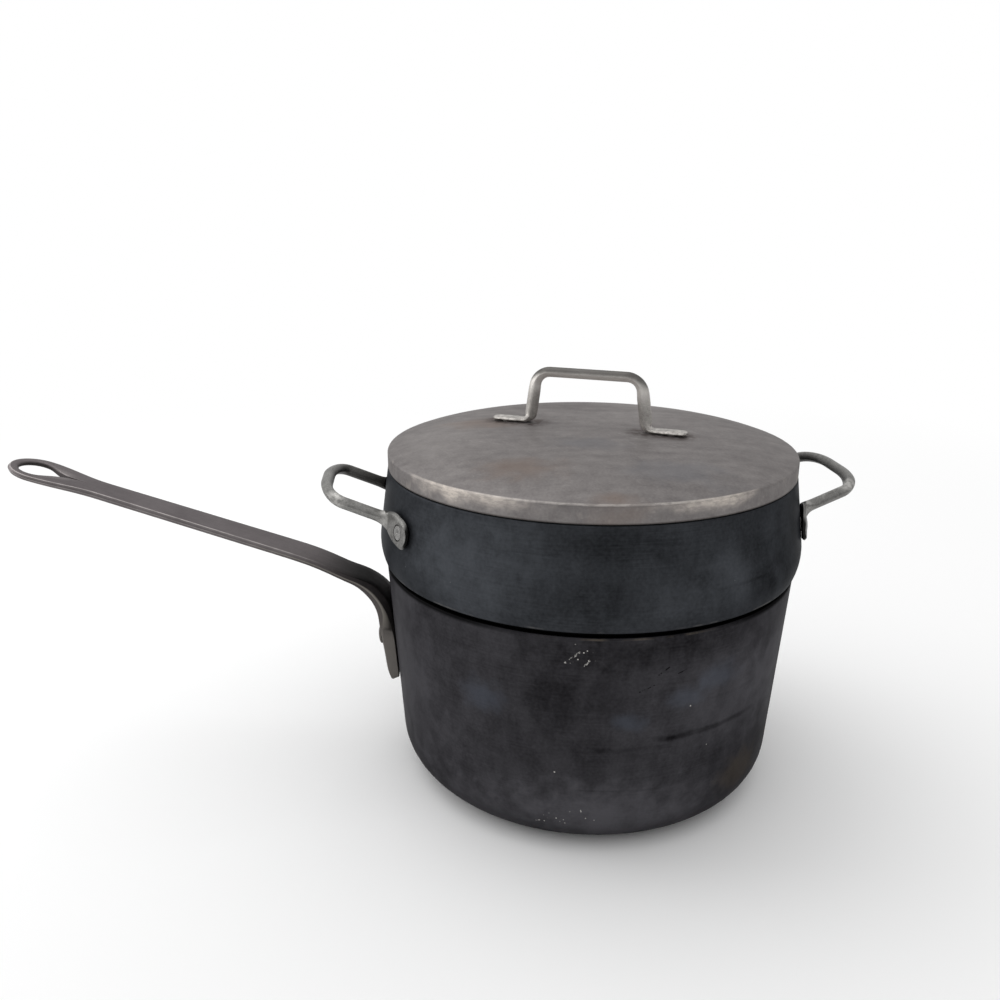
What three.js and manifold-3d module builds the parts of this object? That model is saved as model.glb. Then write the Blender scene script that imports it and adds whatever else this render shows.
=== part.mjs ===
// Double boiler: a saucepan with a long riveted handle, a bellied insert with two side
// handles that stands in the saucepan's rim, and a low lid with a strap handle.
// Millimetres, +Z up. The origin is on the saucepan's axis, at its base.
// The long handle runs along -X.

import * as THREE from 'three';
import { mergeVertices } from 'three/addons/utils/BufferGeometryUtils.js';
import Module from 'manifold-3d';

const wasm = await Module();
wasm.setup();

// Fits
const restGap = 0.3; // between faces that rest on each other
const rivetClearance = 0.3; // round a rivet in its hole
const cupClearance = 1.4; // between the insert's cup and the saucepan's wall
const lipClearance = 0.6; // between the lid's lip and the insert's mouth

// Saucepan
const panRimRadius = 95;
const panHeight = 103.2;
const panTaper = THREE.MathUtils.degToRad(3.68);
const panWall = 3.2;
const panFloor = 4;
const panCornerRadius = 20;
const panRimRound = 0.8;

// Insert
const bellyOverhang = 2.5; // belly beyond the saucepan's rim
const bellyHeight = 11.4; // widest place above the saucepan's rim
const bellyRadius = 25;
const mouthDraw = 4.4; // mouth narrower than the belly
const mouthHeight = 44.4; // mouth above the saucepan's rim
const insertWall = 2.8;
const insertRimRound = 0.7;
const shoulderGap = 2.1; // open groove between the shoulder and the saucepan's rim
const seatWidth = 2.2; // seat ring that rests on the saucepan's rim
const cupTaper = panTaper + THREE.MathUtils.degToRad(3.5); // clear of the rivets inside the saucepan
const cupCornerRadius = 18;
const waterSpace = 32; // from the saucepan's floor to the underside of the cup
const hollowDepth = 8; // inside curve from the belly down to the cup

// Lid
const lidInset = 0.1; // lid edge inside the insert's mouth edge
const lidBand = 7.6; // upright band of the lid
const lidCornerRadius = 2.6;
const lidRise = 8; // flat crown above the band
const lidCrownPower = 4.66; // how long the crown stays flat before it falls
const lidWall = 2.5;
const lipDepth = 5;
const lipWall = 2.2;

// Long handle
const handleReach = 272; // from the axis to the end of the hanging loop
const handleRise = THREE.MathUtils.degToRad(18.5);
const handleBendRadius = 36; // on the face that looks at the wall
const handleBendDrop = 15.6; // where the strap's face would meet the wall, below the rim
const flangeLength = 49.5; // from that place to the flange's lower end
const flangeWidth = 30;
const flangeThickness = 5.4;
const flangeFlat = 32; // full width, from the lower end
const flangeFlare = 40; // from the flange's width to the strap's
const flangeTip = 9; // rounded lower end
const strapWidth = 16.2;
const strapThickness = 4.4;
const loopWidth = 25.4;
const loopEnd = 13.6; // from the loop's widest place to its end
const loopFlare = 30; // from the strap's width to the loop's
const loopThickness = 2.9;
const hangHoleRadius = 7.3;
const hangHoleSetback = 12; // hole's centre from the loop's end
const hangHoleTip = 23; // hole's centre to its pointed end

// Rivets of the long handle
const panRivetRadius = 2.8;
const panRivetHeadRadius = 4.7;
const panRivetHeadHeight = 2;
const panRivetInnerHead = 1.1;
const panRivetPairSpacing = 15;
const panRivetPairDrop = 41; // below the rim
const panRivetSingleDrop = 52;

// Handles bent from round bar with flat feet: on the insert
const earAzimuth = THREE.MathUtils.degToRad(7.2);
const earBar = 5.6;
const earSpan = 52.4; // between the middles of the legs
const earStand = 22.4; // from the belly to the middle of the grip
const earSlope = THREE.MathUtils.degToRad(22.9);
const earFootHeight = 26.9; // foot's middle above the saucepan's rim
const earGripBend = 13;
const earFootLength = 24; // from the leg to the foot's end
const earFootWidth = 12.4;
const earFootThickness = 2.5;
const earFootFlat = 10; // full width, from the foot's end
const earLegBend = 6;
const earRivetRadius = 3.2;
const earRivetInset = 9; // from the foot's end

// Handle on the lid
const lidHandleAzimuth = THREE.MathUtils.degToRad(-22.1);
const lidHandleBar = 4.7;
const lidHandleSpan = 56; // between the legs at the lid
const lidHandleTopSpan = 49.4; // between the legs at the bar
const lidHandleHeight = 24.4; // from the lid's crown to the middle of the bar
const lidHandleBend = 8;
const lidHandleShift = -1.5; // along its own length, off the lid's middle
const lidHandleLegBend = 5;
const lidHandleFootLength = 18.4;
const lidHandleFootWidth = 12;
const lidHandleFootThickness = 2.2;
const lidHandleFootFlat = 9;
const lidRivetRadius = 2.6;
const lidRivetInset = 7;

// Flush rivets of the bar handles: heads on the hidden side
const flushHeadOverhang = 1.6;
const flushHeadHeight = 1.2;

// Smoothness
const roundSegments = 48;
const rivetSegments = 12;
const cornerSteps = 4;
const barSides = 10;
const crownShares = [0.35, 0.55, 0.7, 0.8, 0.88, 0.94, 1];

// Finishes
const finish = (color, roughness, metalness) => new THREE.MeshStandardMaterial({ color, roughness, metalness });
const panFinish = finish('#3b3b3f', 0.5, 0.7);
const insertFinish = finish('#4a4b50', 0.5, 0.7);
const lidFinish = finish('#7c7775', 0.45, 0.7);
const longHandleFinish = finish('#6b6763', 0.5, 0.8);
const barHandleFinish = finish('#8a8783', 0.45, 0.8);
const rivetFinish = finish('#7f7d7a', 0.45, 0.8);

// Places that the pieces share
const panInnerRim = panRimRadius - panWall;
const panRadiusAt = (z) => panRimRadius - (panHeight - z) * Math.tan(panTaper);
const seatZ = panHeight + restGap;
const cupRadius = panInnerRim - cupClearance;
const seatRadius = cupRadius + cupClearance + seatWidth;
const shoulderZ = panHeight + shoulderGap;
const bellyZ = panHeight + bellyHeight;
const bellyMax = panRimRadius + bellyOverhang;
const earReach = bellyMax + earStand;
const mouthRadius = bellyMax - mouthDraw;
const mouthZ = panHeight + mouthHeight;
const cupBottomZ = panFloor + waterSpace;
const shelfZ = seatZ + insertWall;
const lidZ = mouthZ + restGap;
const lidRadius = mouthRadius - lidInset;
const crownZ = lidZ + lidBand + lidRise;

// Lean of the insert's wall, straight from the mouth to where it touches the belly's curve
const bellyCentre = bellyMax - bellyRadius;
const mouthBearing = Math.atan2(mouthZ - bellyZ, mouthRadius - bellyCentre);
const mouthDistance = Math.hypot(mouthZ - bellyZ, mouthRadius - bellyCentre);
const bellyLean = mouthBearing - Math.acos(bellyRadius / mouthDistance);
const insertRadiusAt = (z) => mouthRadius + (mouthZ - z) * Math.tan(bellyLean);
const insertInnerAt = (z) => insertRadiusAt(z) - insertWall / Math.cos(bellyLean);
const mouthInner = insertInnerAt(mouthZ);

function solid(geometry) {
  // A closed mesh with shared corners becomes a solid that can be joined and cut
  const bare = geometry.clone();
  bare.deleteAttribute('normal');
  bare.deleteAttribute('uv');
  const merged = mergeVertices(bare, 1e-4);
  const index = merged.index.array;
  const triangles = [];
  for (let i = 0; i < index.length; i += 3) {
    const [a, b, c] = [index[i], index[i + 1], index[i + 2]];
    if (a !== b && b !== c && c !== a) triangles.push(a, b, c);
  }
  return new wasm.Manifold(new wasm.Mesh({
    numProp: 3,
    vertProperties: new Float32Array(merged.attributes.position.array),
    triVerts: new Uint32Array(triangles),
  }));
}

function piece(name, body, material) {
  const cut = body.getMesh();
  const geometry = new THREE.BufferGeometry();
  geometry.setAttribute('position', new THREE.BufferAttribute(cut.vertProperties, 3));
  geometry.setIndex(new THREE.BufferAttribute(cut.triVerts, 1));
  geometry.computeVertexNormals();
  const mesh = new THREE.Mesh(geometry, material);
  mesh.name = name;
  return mesh;
}

function turned(profile, segments) {
  // Radius and height points, turned round the Z axis
  const points = profile.map(([radius, height]) => new THREE.Vector2(Math.max(radius, 0), height));
  const geometry = new THREE.LatheGeometry(points, segments);
  geometry.rotateX(Math.PI / 2);
  return geometry;
}

function arc(centreRadius, centreZ, radius, from, to, steps = cornerSteps) {
  const points = [];
  for (let i = 0; i <= steps; i++) {
    const angle = from + ((to - from) * i) / steps;
    points.push([centreRadius + radius * Math.cos(angle), centreZ + radius * Math.sin(angle)]);
  }
  return points;
}

function sweep(stations, sides) {
  // Skin through oval sections: each has a centre, a width direction and two half sizes
  const rings = stations.map((station, i) => {
    const before = stations[Math.max(i - 1, 0)].centre;
    const after = stations[Math.min(i + 1, stations.length - 1)].centre;
    const along = after.clone().sub(before).normalize();
    const thick = new THREE.Vector3().crossVectors(along, station.across).normalize();
    const wide = new THREE.Vector3().crossVectors(thick, along).normalize();
    return sides.map(([x, y]) => station.centre.clone()
      .addScaledVector(wide, x * station.halfWidth)
      .addScaledVector(thick, y * station.halfThickness));
  });
  const count = sides.length;
  const corners = rings.flat();
  const triangles = [];
  for (let i = 0; i + 1 < rings.length; i++) {
    for (let j = 0; j < count; j++) {
      const [a, b] = [i * count + j, i * count + (j + 1) % count];
      triangles.push(a, b, a + count, b, b + count, a + count);
    }
  }
  const last = (rings.length - 1) * count;
  for (let j = 1; j + 1 < count; j++) {
    triangles.push(0, j + 1, j);
    triangles.push(last, last + j, last + j + 1);
  }
  const geometry = new THREE.BufferGeometry().setFromPoints(corners);
  geometry.setIndex(triangles);
  return geometry;
}

const circleSides = (count) => Array.from({ length: count }, (_, i) => {
  const angle = (2 * Math.PI * i) / count;
  return [Math.cos(angle), Math.sin(angle)];
});

const ease = (from, to, share) => {
  const s = THREE.MathUtils.smoothstep(share, 0, 1);
  return from + (to - from) * s;
};

const roundTip = (distance, length) => {
  // Share of the full size near a rounded end
  const rest = 1 - Math.min(Math.max(distance / length, 0), 1);
  return Math.max(Math.sqrt(1 - rest * rest), 0.12);
};

// How far a round wall falls away from its tangent plane, some way off the touching line
const dipAcross = (offset, radius) => radius - Math.sqrt(radius ** 2 - offset ** 2);

function placed(geometry, origin, direction) {
  // Moves a shape made along +Z to an origin, along a direction
  const turn = new THREE.Quaternion().setFromUnitVectors(new THREE.Vector3(0, 0, 1), direction);
  return geometry.applyQuaternion(turn).translate(origin.x, origin.y, origin.z);
}

function rod(radius, from, to, origin, direction) {
  const profile = [[0, from], [radius, from], [radius, to], [0, to]];
  return solid(placed(turned(profile, rivetSegments), origin, direction));
}

function saucepanBody() {
  const flatRadius = panRadiusAt(0) - panCornerRadius * Math.tan((Math.PI / 2 - panTaper) / 2);
  const innerCorner = panCornerRadius - panWall;
  const innerAt = (z) => panRadiusAt(z) - panWall / Math.cos(panTaper);
  const innerFlat = innerAt(panFloor) - innerCorner * Math.tan((Math.PI / 2 - panTaper) / 2);
  const rimIn = innerAt(panHeight);
  return solid(turned([
    [0, 0],
    ...arc(flatRadius, panCornerRadius, panCornerRadius, -Math.PI / 2, -panTaper, 7),
    [panRadiusAt(panHeight - panRimRound), panHeight - panRimRound],
    [panRimRadius - panRimRound, panHeight],
    [rimIn + panRimRound, panHeight],
    [innerAt(panHeight - panRimRound), panHeight - panRimRound],
    ...arc(innerFlat, panFloor + innerCorner, innerCorner, -panTaper, -Math.PI / 2, 6),
    [0, panFloor],
  ], roundSegments));
}

function insertBody() {
  // Outside: cup, seat ring, open groove, shoulder, belly and mouth
  const cupAt = (z) => cupRadius - (seatZ - z) * Math.tan(cupTaper);
  const cupFlat = cupAt(cupBottomZ) - cupCornerRadius * Math.tan((Math.PI / 2 - cupTaper) / 2);
  const shoulderAngle = Math.asin((shoulderZ - bellyZ) / bellyRadius);
  // Inside: the same wall, with a hollow curve from the belly into the cup
  const innerCorner = cupCornerRadius - insertWall;
  const innerCupAt = (z) => cupAt(z) - insertWall / Math.cos(cupTaper);
  const innerFloor = cupBottomZ + insertWall;
  const innerFlat = innerCupAt(innerFloor) - innerCorner * Math.tan((Math.PI / 2 - cupTaper) / 2);
  const innerCupTop = innerCupAt(shelfZ);
  const hollowWidth = insertInnerAt(shelfZ + hollowDepth) - innerCupTop;
  const hollow = arc(0, 0, 1, 0, -Math.PI / 2)
    .map(([x, z]) => [innerCupTop + hollowWidth * x, shelfZ + hollowDepth * (1 + z)]);
  return solid(turned([
    [0, cupBottomZ],
    ...arc(cupFlat, cupBottomZ + cupCornerRadius, cupCornerRadius, -Math.PI / 2, -cupTaper, 6),
    [cupRadius, seatZ],
    [seatRadius, seatZ],
    [seatRadius, shoulderZ],
    ...arc(bellyCentre, bellyZ, bellyRadius, shoulderAngle, bellyLean, 6),
    [insertRadiusAt(mouthZ - insertRimRound), mouthZ - insertRimRound],
    [mouthRadius - insertRimRound, mouthZ],
    [mouthInner + insertRimRound, mouthZ],
    [insertInnerAt(mouthZ - insertRimRound), mouthZ - insertRimRound],
    ...hollow,
    ...arc(innerFlat, innerFloor + innerCorner, innerCorner, -cupTaper, -Math.PI / 2, 5),
    [0, innerFloor],
  ], roundSegments));
}

// Height of the lid's top
const crownAt = (radius) => crownZ - lidRise * (radius / lidRadius) ** lidCrownPower;

function lidCover() {
  const lipOuter = mouthInner - lipClearance;
  const lipInner = lipOuter - lipWall;
  const under = crownShares.map((share) => [share * lipInner, crownAt(share * lipInner) - lidWall]);
  const crown = crownShares.slice(0, -1).reverse()
    .map((share) => [share * lidRadius, crownAt(share * lidRadius)]);
  // The corner's arc leaves the upright band and runs on along the crown's slope
  const crownEdge = lidRadius - lidCornerRadius;
  const crownSlope = lidRise * lidCrownPower * (crownEdge / lidRadius) ** (lidCrownPower - 1) / lidRadius;
  const cornerTurn = Math.atan2(1, crownSlope);
  const cornerRadius = lidCornerRadius / (1 - Math.cos(cornerTurn));
  const cornerZ = crownAt(crownEdge) - cornerRadius * Math.sin(cornerTurn);
  return solid(turned([
    [0, crownZ - lidWall],
    ...under,
    [lipInner, lidZ - lipDepth],
    [lipOuter, lidZ - lipDepth],
    [lipOuter, lidZ],
    [lidRadius, lidZ],
    ...arc(lidRadius - cornerRadius, cornerZ, cornerRadius, 0, cornerTurn),
    ...crown,
    [0, crownZ],
  ], roundSegments));
}

// Long handle, seen from the side: distance out from the axis, and height
const wallOut = new THREE.Vector2(Math.cos(panTaper), -Math.sin(panTaper));
const wallDown = new THREE.Vector2(-Math.sin(panTaper), -Math.cos(panTaper));
const strapOut = new THREE.Vector2(Math.cos(handleRise), Math.sin(handleRise));
const strapUnder = new THREE.Vector2(Math.sin(handleRise), -Math.cos(handleRise));
const wallAt = (drop) => new THREE.Vector2(panRadiusAt(panHeight - drop), panHeight - drop);
const bendPoint = wallAt(handleBendDrop).addScaledVector(wallOut, restGap);
const strapLength = (handleReach - bendPoint.x) / Math.cos(handleRise);
const handleSpot = (side, y = 0) => new THREE.Vector3(-side.x, y, side.y);
const handleDirection = (side) => new THREE.Vector3(-side.x, 0, side.y);

// Flat top and bottom with a slight crown, thin rounded edges
const strapSides = [
  [1, 0.4], [0.9, 0.75], [0.5, 0.95], [0, 1], [-0.5, 0.95], [-0.9, 0.75], [-1, 0.4],
  [-1, -0.4], [-0.9, -0.75], [-0.5, -0.95], [0, -1], [0.5, -0.95], [0.9, -0.75], [1, -0.4],
];

function handleFace() {
  // Points and outward directions of the face that lies on the wall and turns into the strap's top
  const turn = Math.acos(-wallDown.dot(strapOut));
  const setback = handleBendRadius * Math.tan(turn / 2);
  const faces = [];
  const add = (point, out) => faces.push({ point, out });
  const tipShares = [0, 0.06, 0.2, 0.45, 1];
  const flat = flangeLength - setback;
  for (const share of tipShares) {
    add(bendPoint.clone().addScaledVector(wallDown, flangeLength - share * flangeTip), wallOut);
  }
  add(bendPoint.clone().addScaledVector(wallDown, setback + (flat - flangeTip) / 2), wallOut);
  const start = bendPoint.clone().addScaledVector(wallDown, setback);
  const middle = start.clone().addScaledVector(wallOut, handleBendRadius);
  const bendSteps = 10;
  for (let i = 0; i <= bendSteps; i++) {
    const angle = (turn * i) / bendSteps;
    const out = wallOut.clone().rotateAround(new THREE.Vector2(), -angle);
    add(middle.clone().addScaledVector(out, -handleBendRadius), out);
  }
  const strapStart = setback;
  const loopStart = strapLength - loopEnd - loopFlare;
  const plain = loopStart - strapStart;
  const alongStrap = [0.12, 0.25, 0.5, 1].map((share) => strapStart + share * plain);
  for (let i = 1; i <= 5; i++) alongStrap.push(loopStart + (loopFlare * i) / 5);
  for (const share of [0.35, 0.6, 0.78, 0.9, 0.97, 1]) alongStrap.push(strapLength - loopEnd * (1 - share));
  for (const distance of alongStrap) {
    add(bendPoint.clone().addScaledVector(strapOut, distance), strapUnder);
  }
  return faces;
}

function longHandle(rivets) {
  const faces = handleFace();
  let travelled = 0;
  const total = faces.reduce((sum, { point }, i) => sum + (i ? point.distanceTo(faces[i - 1].point) : 0), 0);
  const stations = faces.map(({ point, out }, i) => {
    if (i) travelled += point.distanceTo(faces[i - 1].point);
    const toEnd = total - travelled;
    const narrowing = ease(flangeWidth, strapWidth, (travelled - flangeFlat) / flangeFlare);
    const widening = ease(loopWidth, strapWidth, (toEnd - loopEnd) / loopFlare) - strapWidth;
    const ends = roundTip(travelled, flangeTip) * roundTip(toEnd, loopEnd);
    const thinning = ease(flangeThickness, strapThickness, (travelled - flangeFlat) / flangeFlare);
    const thickness = toEnd < loopEnd + loopFlare
      ? ease(loopThickness, strapThickness, (toEnd - loopEnd) / loopFlare)
      : thinning * Math.max(roundTip(travelled, flangeThickness / 2), 0.5);
    return {
      centre: handleSpot(point.clone().addScaledVector(out, thickness / 2)),
      across: new THREE.Vector3(0, 1, 0),
      halfWidth: ((narrowing + widening) * ends) / 2,
      halfThickness: thickness / 2,
    };
  });
  let body = solid(sweep(stations, strapSides));
  body = body.subtract(hangHole());
  for (const rivet of rivets) body = body.subtract(rivet.hole);
  return body;
}

function hangHole() {
  // Drop shaped: a round end, and straight sides that meet in a point nearer the saucepan
  const touch = Math.acos(hangHoleRadius / hangHoleTip);
  const outline = new THREE.Shape();
  const sideEnd = hangHoleRadius * Math.sin(touch);
  outline.moveTo(-hangHoleTip, 0);
  outline.lineTo(-hangHoleRadius * Math.cos(touch), -sideEnd);
  outline.absarc(0, 0, hangHoleRadius, Math.PI + touch, Math.PI - touch, false);
  outline.lineTo(-hangHoleTip, 0);
  const deep = 4 * loopThickness;
  const hole = new THREE.ExtrudeGeometry(outline, { depth: deep, bevelEnabled: false, curveSegments: 14 });
  hole.translate(0, 0, -deep / 2);
  const centre = bendPoint.clone().addScaledVector(strapOut, strapLength - hangHoleSetback);
  const frame = new THREE.Matrix4().makeBasis(
    handleDirection(strapOut),
    new THREE.Vector3(0, -1, 0),
    handleDirection(strapUnder).negate(),
  );
  frame.setPosition(handleSpot(centre));
  return solid(hole.applyMatrix4(frame));
}

function panRivets() {
  // An upper pair and a lower single rivet, square to the flange
  const places = [
    [-panRivetPairSpacing / 2, panRivetPairDrop],
    [panRivetPairSpacing / 2, panRivetPairDrop],
    [0, panRivetSingleDrop],
  ];
  const direction = handleDirection(wallOut);
  const bandLow = panHeight - panRivetSingleDrop - 2 * panRivetHeadRadius;
  const band = solid(turned([
    [panRadiusAt(bandLow) - panWall / Math.cos(panTaper) - restGap, bandLow],
    [panRadiusAt(bandLow) + restGap, bandLow],
    [panRimRadius + restGap, panHeight],
    [panInnerRim - restGap, panHeight],
    [panRadiusAt(bandLow) - panWall / Math.cos(panTaper) - restGap, bandLow],
  ], roundSegments));
  const headFoot = 2 * restGap + flangeThickness;
  const innerFace = -panWall - restGap;
  return places.map(([y, drop]) => {
    const spot = handleSpot(wallAt(drop), y);
    const dome = arc(0, headFoot, 1, 0, Math.PI / 2, 4)
      .map(([x, h]) => [x * panRivetHeadRadius, headFoot + (h - headFoot) * panRivetHeadHeight]);
    const sag = dipAcross(Math.abs(y) + panRivetHeadRadius, panRadiusAt(panHeight - drop));
    const inner = solid(placed(turned([
      [0, innerFace - sag - panRivetInnerHead],
      [panRivetHeadRadius * 0.8, innerFace - sag - panRivetInnerHead],
      [panRivetHeadRadius, innerFace - sag - panRivetInnerHead / 2],
      [panRivetHeadRadius, -panWall / 2],
      [0, -panWall / 2],
    ], rivetSegments), spot, direction)).subtract(band);
    const outer = solid(placed(turned([
      [0, innerFace - sag - panRivetInnerHead / 2],
      [panRivetRadius, innerFace - sag - panRivetInnerHead / 2],
      [panRivetRadius, headFoot],
      ...dome.slice(0, -1),
      [0, headFoot + panRivetHeadHeight],
    ], rivetSegments), spot, direction));
    const drill = panRivetRadius + rivetClearance;
    const hole = rod(drill, innerFace - sag - panRivetInnerHead, headFoot, spot, direction);
    return { body: outer.add(inner), hole };
  });
}

// Bar handles: a round bar whose ends turn outwards and are beaten flat into feet
function footedBar(half, size) {
  // half: curves from a foot's end to the middle of the grip, with steps and width directions
  const points = [];
  const directions = [];
  half.forEach(({ curve, steps, across, dense }, part) => {
    for (let i = part ? 1 : 0; i <= steps; i++) {
      const share = dense ? (i / steps) ** 2 : i / steps;
      points.push(curve.getPointAt(share));
      directions.push(across(share));
    }
  });
  const travelled = [0];
  for (let i = 1; i < points.length; i++) {
    travelled.push(travelled[i - 1] + points[i].distanceTo(points[i - 1]));
  }
  const stations = points.map((centre, i) => {
    const distance = travelled[i];
    const narrowing = (distance - size.footFlat) / (size.footLength + size.bend - size.footFlat);
    const thickening = (distance - size.footLength + size.bend) / (2 * size.bend);
    return {
      centre,
      across: directions[i],
      halfWidth: ease(size.footWidth, size.bar, narrowing) / 2 * roundTip(distance, size.footWidth / 2),
      halfThickness: ease(size.footThickness, size.bar, thickening) / 2,
    };
  });
  const mirror = new THREE.Vector3(size.mirrorX, size.mirrorY, 1);
  const other = stations.slice(0, -1).reverse().map((station) => ({
    ...station,
    centre: station.centre.clone().multiply(mirror),
    across: station.across.clone().multiply(mirror),
  }));
  return solid(sweep([...stations, ...other], circleSides(barSides)));
}

const bend = (from, corner, to) => new THREE.QuadraticBezierCurve3(from, corner, to);
const line = (from, to) => new THREE.LineCurve3(from, to);
const toward = (from, to, distance) => from.clone().add(to.clone().sub(from).setLength(distance));

function flushRivet(radius, thickness, wall, hollow, spot, direction) {
  // Level with the foot's face, with a low head on the hidden side of the wall, clear of its hollow
  const top = restGap + thickness;
  const inside = -wall - restGap - hollow;
  const head = radius + flushHeadOverhang;
  const body = solid(placed(turned([
    [0, inside - flushHeadHeight],
    [head * 0.75, inside - flushHeadHeight],
    [head, inside - flushHeadHeight / 3],
    [head, inside],
    [radius, inside],
    [radius, top],
    [0, top],
  ], rivetSegments), spot, direction));
  const hole = rod(radius + rivetClearance, inside - flushHeadHeight, top + flushHeadHeight, spot, direction);
  return { body, hole };
}

function ear() {
  // Made along +X, with its legs at plus and minus Y
  const footZ = panHeight + earFootHeight;
  const off = restGap + earFootThickness / 2;
  const wallRadius = insertRadiusAt(footZ);
  const radius = wallRadius + off * Math.cos(bellyLean);
  const height = footZ + off * Math.sin(bellyLean);
  const legAngle = Math.asin(earSpan / 2 / radius);
  const endAngle = legAngle + earFootLength / radius;
  const bendAngle = legAngle + earLegBend / radius;
  const onWall = (angle, r = radius, z = height) => new THREE.Vector3(r * Math.cos(angle), r * Math.sin(angle), z);
  const tangentCorner = (from, to) => onWall((from + to) / 2, radius / Math.cos((from - to) / 2));
  const meridian = (angle) => onWall(angle, -Math.sin(bellyLean), Math.cos(bellyLean));
  const gripUp = new THREE.Vector3(-Math.sin(earSlope), 0, Math.cos(earSlope));
  const slide = (radius * Math.sin(bendAngle) - earSpan / 2) / Math.cos(bendAngle);
  const legFoot = new THREE.Vector3(
    radius * Math.cos(bendAngle) + slide * Math.sin(bendAngle),
    earSpan / 2,
    height,
  );
  const gripZ = height + (earReach - legFoot.x) * Math.tan(earSlope);
  const gripCorner = new THREE.Vector3(earReach, earSpan / 2, gripZ);
  const gripMiddle = new THREE.Vector3(earReach, 0, gripZ);
  const [footEnd, footBend] = [onWall(endAngle), onWall(bendAngle)];
  const legStart = toward(legFoot, gripCorner, earLegBend);
  const legEnd = toward(gripCorner, legFoot, earGripBend);
  const gripStart = toward(gripCorner, gripMiddle, earGripBend);
  const body = footedBar([
    {
      curve: bend(footEnd, tangentCorner(endAngle, bendAngle), footBend),
      steps: 7,
      dense: true,
      across: (share) => meridian(endAngle + (bendAngle - endAngle) * share),
    },
    {
      curve: bend(footBend, legFoot, legStart),
      steps: 5,
      across: (share) => meridian(bendAngle).lerp(gripUp, share).normalize(),
    },
    { curve: line(legStart, legEnd), steps: 1, across: () => gripUp },
    { curve: bend(legEnd, gripCorner, gripStart), steps: 6, across: () => gripUp },
    { curve: line(gripStart, gripMiddle), steps: 1, across: () => gripUp },
  ], {
    bar: earBar,
    footLength: earFootLength,
    footFlat: earFootFlat,
    footWidth: earFootWidth,
    footThickness: earFootThickness,
    bend: earLegBend,
    mirrorX: 1,
    mirrorY: -1,
  });
  const rivetAngle = endAngle - earRivetInset / radius;
  const facet = wallRadius * (1 - Math.cos(Math.PI / roundSegments));
  const hollow = facet + dipAcross(earRivetRadius + flushHeadOverhang, insertInnerAt(footZ));
  const rivets = [rivetAngle, -rivetAngle].map((angle) => {
    const spot = onWall(angle, wallRadius, footZ);
    const out = onWall(angle, Math.cos(bellyLean), Math.sin(bellyLean));
    return flushRivet(earRivetRadius, earFootThickness, insertWall, hollow, spot, out);
  });
  const drilled = rivets.reduce((shape, rivet) => shape.subtract(rivet.hole), body);
  return { body: drilled, rivets };
}

function lidHandle() {
  // Made along X, standing on the lid's crown
  const footZ = crownZ + restGap + lidHandleFootThickness / 2;
  const barZ = crownZ + lidHandleHeight;
  const spot = (x, z) => new THREE.Vector3(x, 0, z);
  const legFoot = spot(lidHandleSpan / 2, footZ);
  const barCorner = spot(lidHandleTopSpan / 2, barZ);
  const footEnd = spot(lidHandleSpan / 2 + lidHandleFootLength, footZ);
  const footBend = toward(legFoot, footEnd, lidHandleLegBend);
  const legStart = toward(legFoot, barCorner, lidHandleLegBend);
  const legEnd = toward(barCorner, legFoot, lidHandleBend);
  const barStart = toward(barCorner, spot(0, barZ), lidHandleBend);
  const across = () => new THREE.Vector3(0, 1, 0);
  const body = footedBar([
    { curve: line(footEnd, footBend), steps: 7, dense: true, across },
    { curve: bend(footBend, legFoot, legStart), steps: 5, across },
    { curve: line(legStart, legEnd), steps: 1, across },
    { curve: bend(legEnd, barCorner, barStart), steps: 6, across },
    { curve: line(barStart, spot(0, barZ)), steps: 1, across },
  ], {
    bar: lidHandleBar,
    footLength: lidHandleFootLength,
    footFlat: lidHandleFootFlat,
    footWidth: lidHandleFootWidth,
    footThickness: lidHandleFootThickness,
    bend: lidHandleLegBend,
    mirrorX: -1,
    mirrorY: 1,
  });
  const up = new THREE.Vector3(0, 0, 1);
  const rivetX = lidHandleSpan / 2 + lidHandleFootLength - lidRivetInset;
  const headReach = rivetX + Math.abs(lidHandleShift) + lidRivetRadius + flushHeadOverhang;
  const fall = crownZ - crownAt(headReach);
  const rivets = [-rivetX, rivetX].map((x) => (
    flushRivet(lidRivetRadius, lidHandleFootThickness, lidWall, fall, spot(x, crownZ), up)
  ));
  const drilled = rivets.reduce((shape, rivet) => shape.subtract(rivet.hole), body);
  const shifted = (shape) => shape.translate([lidHandleShift, 0, 0]);
  return {
    body: shifted(drilled),
    rivets: rivets.map((rivet) => ({ body: shifted(rivet.body), hole: shifted(rivet.hole) })),
  };
}

function turnedGroup(angle) {
  const group = new THREE.Group();
  group.rotation.z = angle;
  return group;
}

const spun = (shape, angle) => shape.rotate([0, 0, THREE.MathUtils.radToDeg(angle)]);

function saucepan() {
  const group = new THREE.Group();
  const rivets = panRivets();
  const body = rivets.reduce((shape, rivet) => shape.subtract(rivet.hole), saucepanBody());
  group.add(piece('saucepan_body', body, panFinish));
  group.add(piece('saucepan_handle', longHandle(rivets), longHandleFinish));
  rivets.forEach((rivet, i) => group.add(piece(`saucepan_handle_rivet_${i + 1}`, rivet.body, rivetFinish)));
  return group;
}

function insert() {
  const group = new THREE.Group();
  const sides = [['right', earAzimuth], ['left', earAzimuth + Math.PI]];
  let body = insertBody();
  for (const [side, angle] of sides) {
    const { body: bar, rivets } = ear();
    const earGroup = turnedGroup(angle);
    earGroup.add(piece(`insert_handle_${side}`, bar, barHandleFinish));
    rivets.forEach((rivet, i) => {
      earGroup.add(piece(`insert_handle_${side}_rivet_${i + 1}`, rivet.body, rivetFinish));
      body = body.subtract(spun(rivet.hole, angle));
    });
    group.add(earGroup);
  }
  group.add(piece('insert_body', body, insertFinish));
  return group;
}

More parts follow.
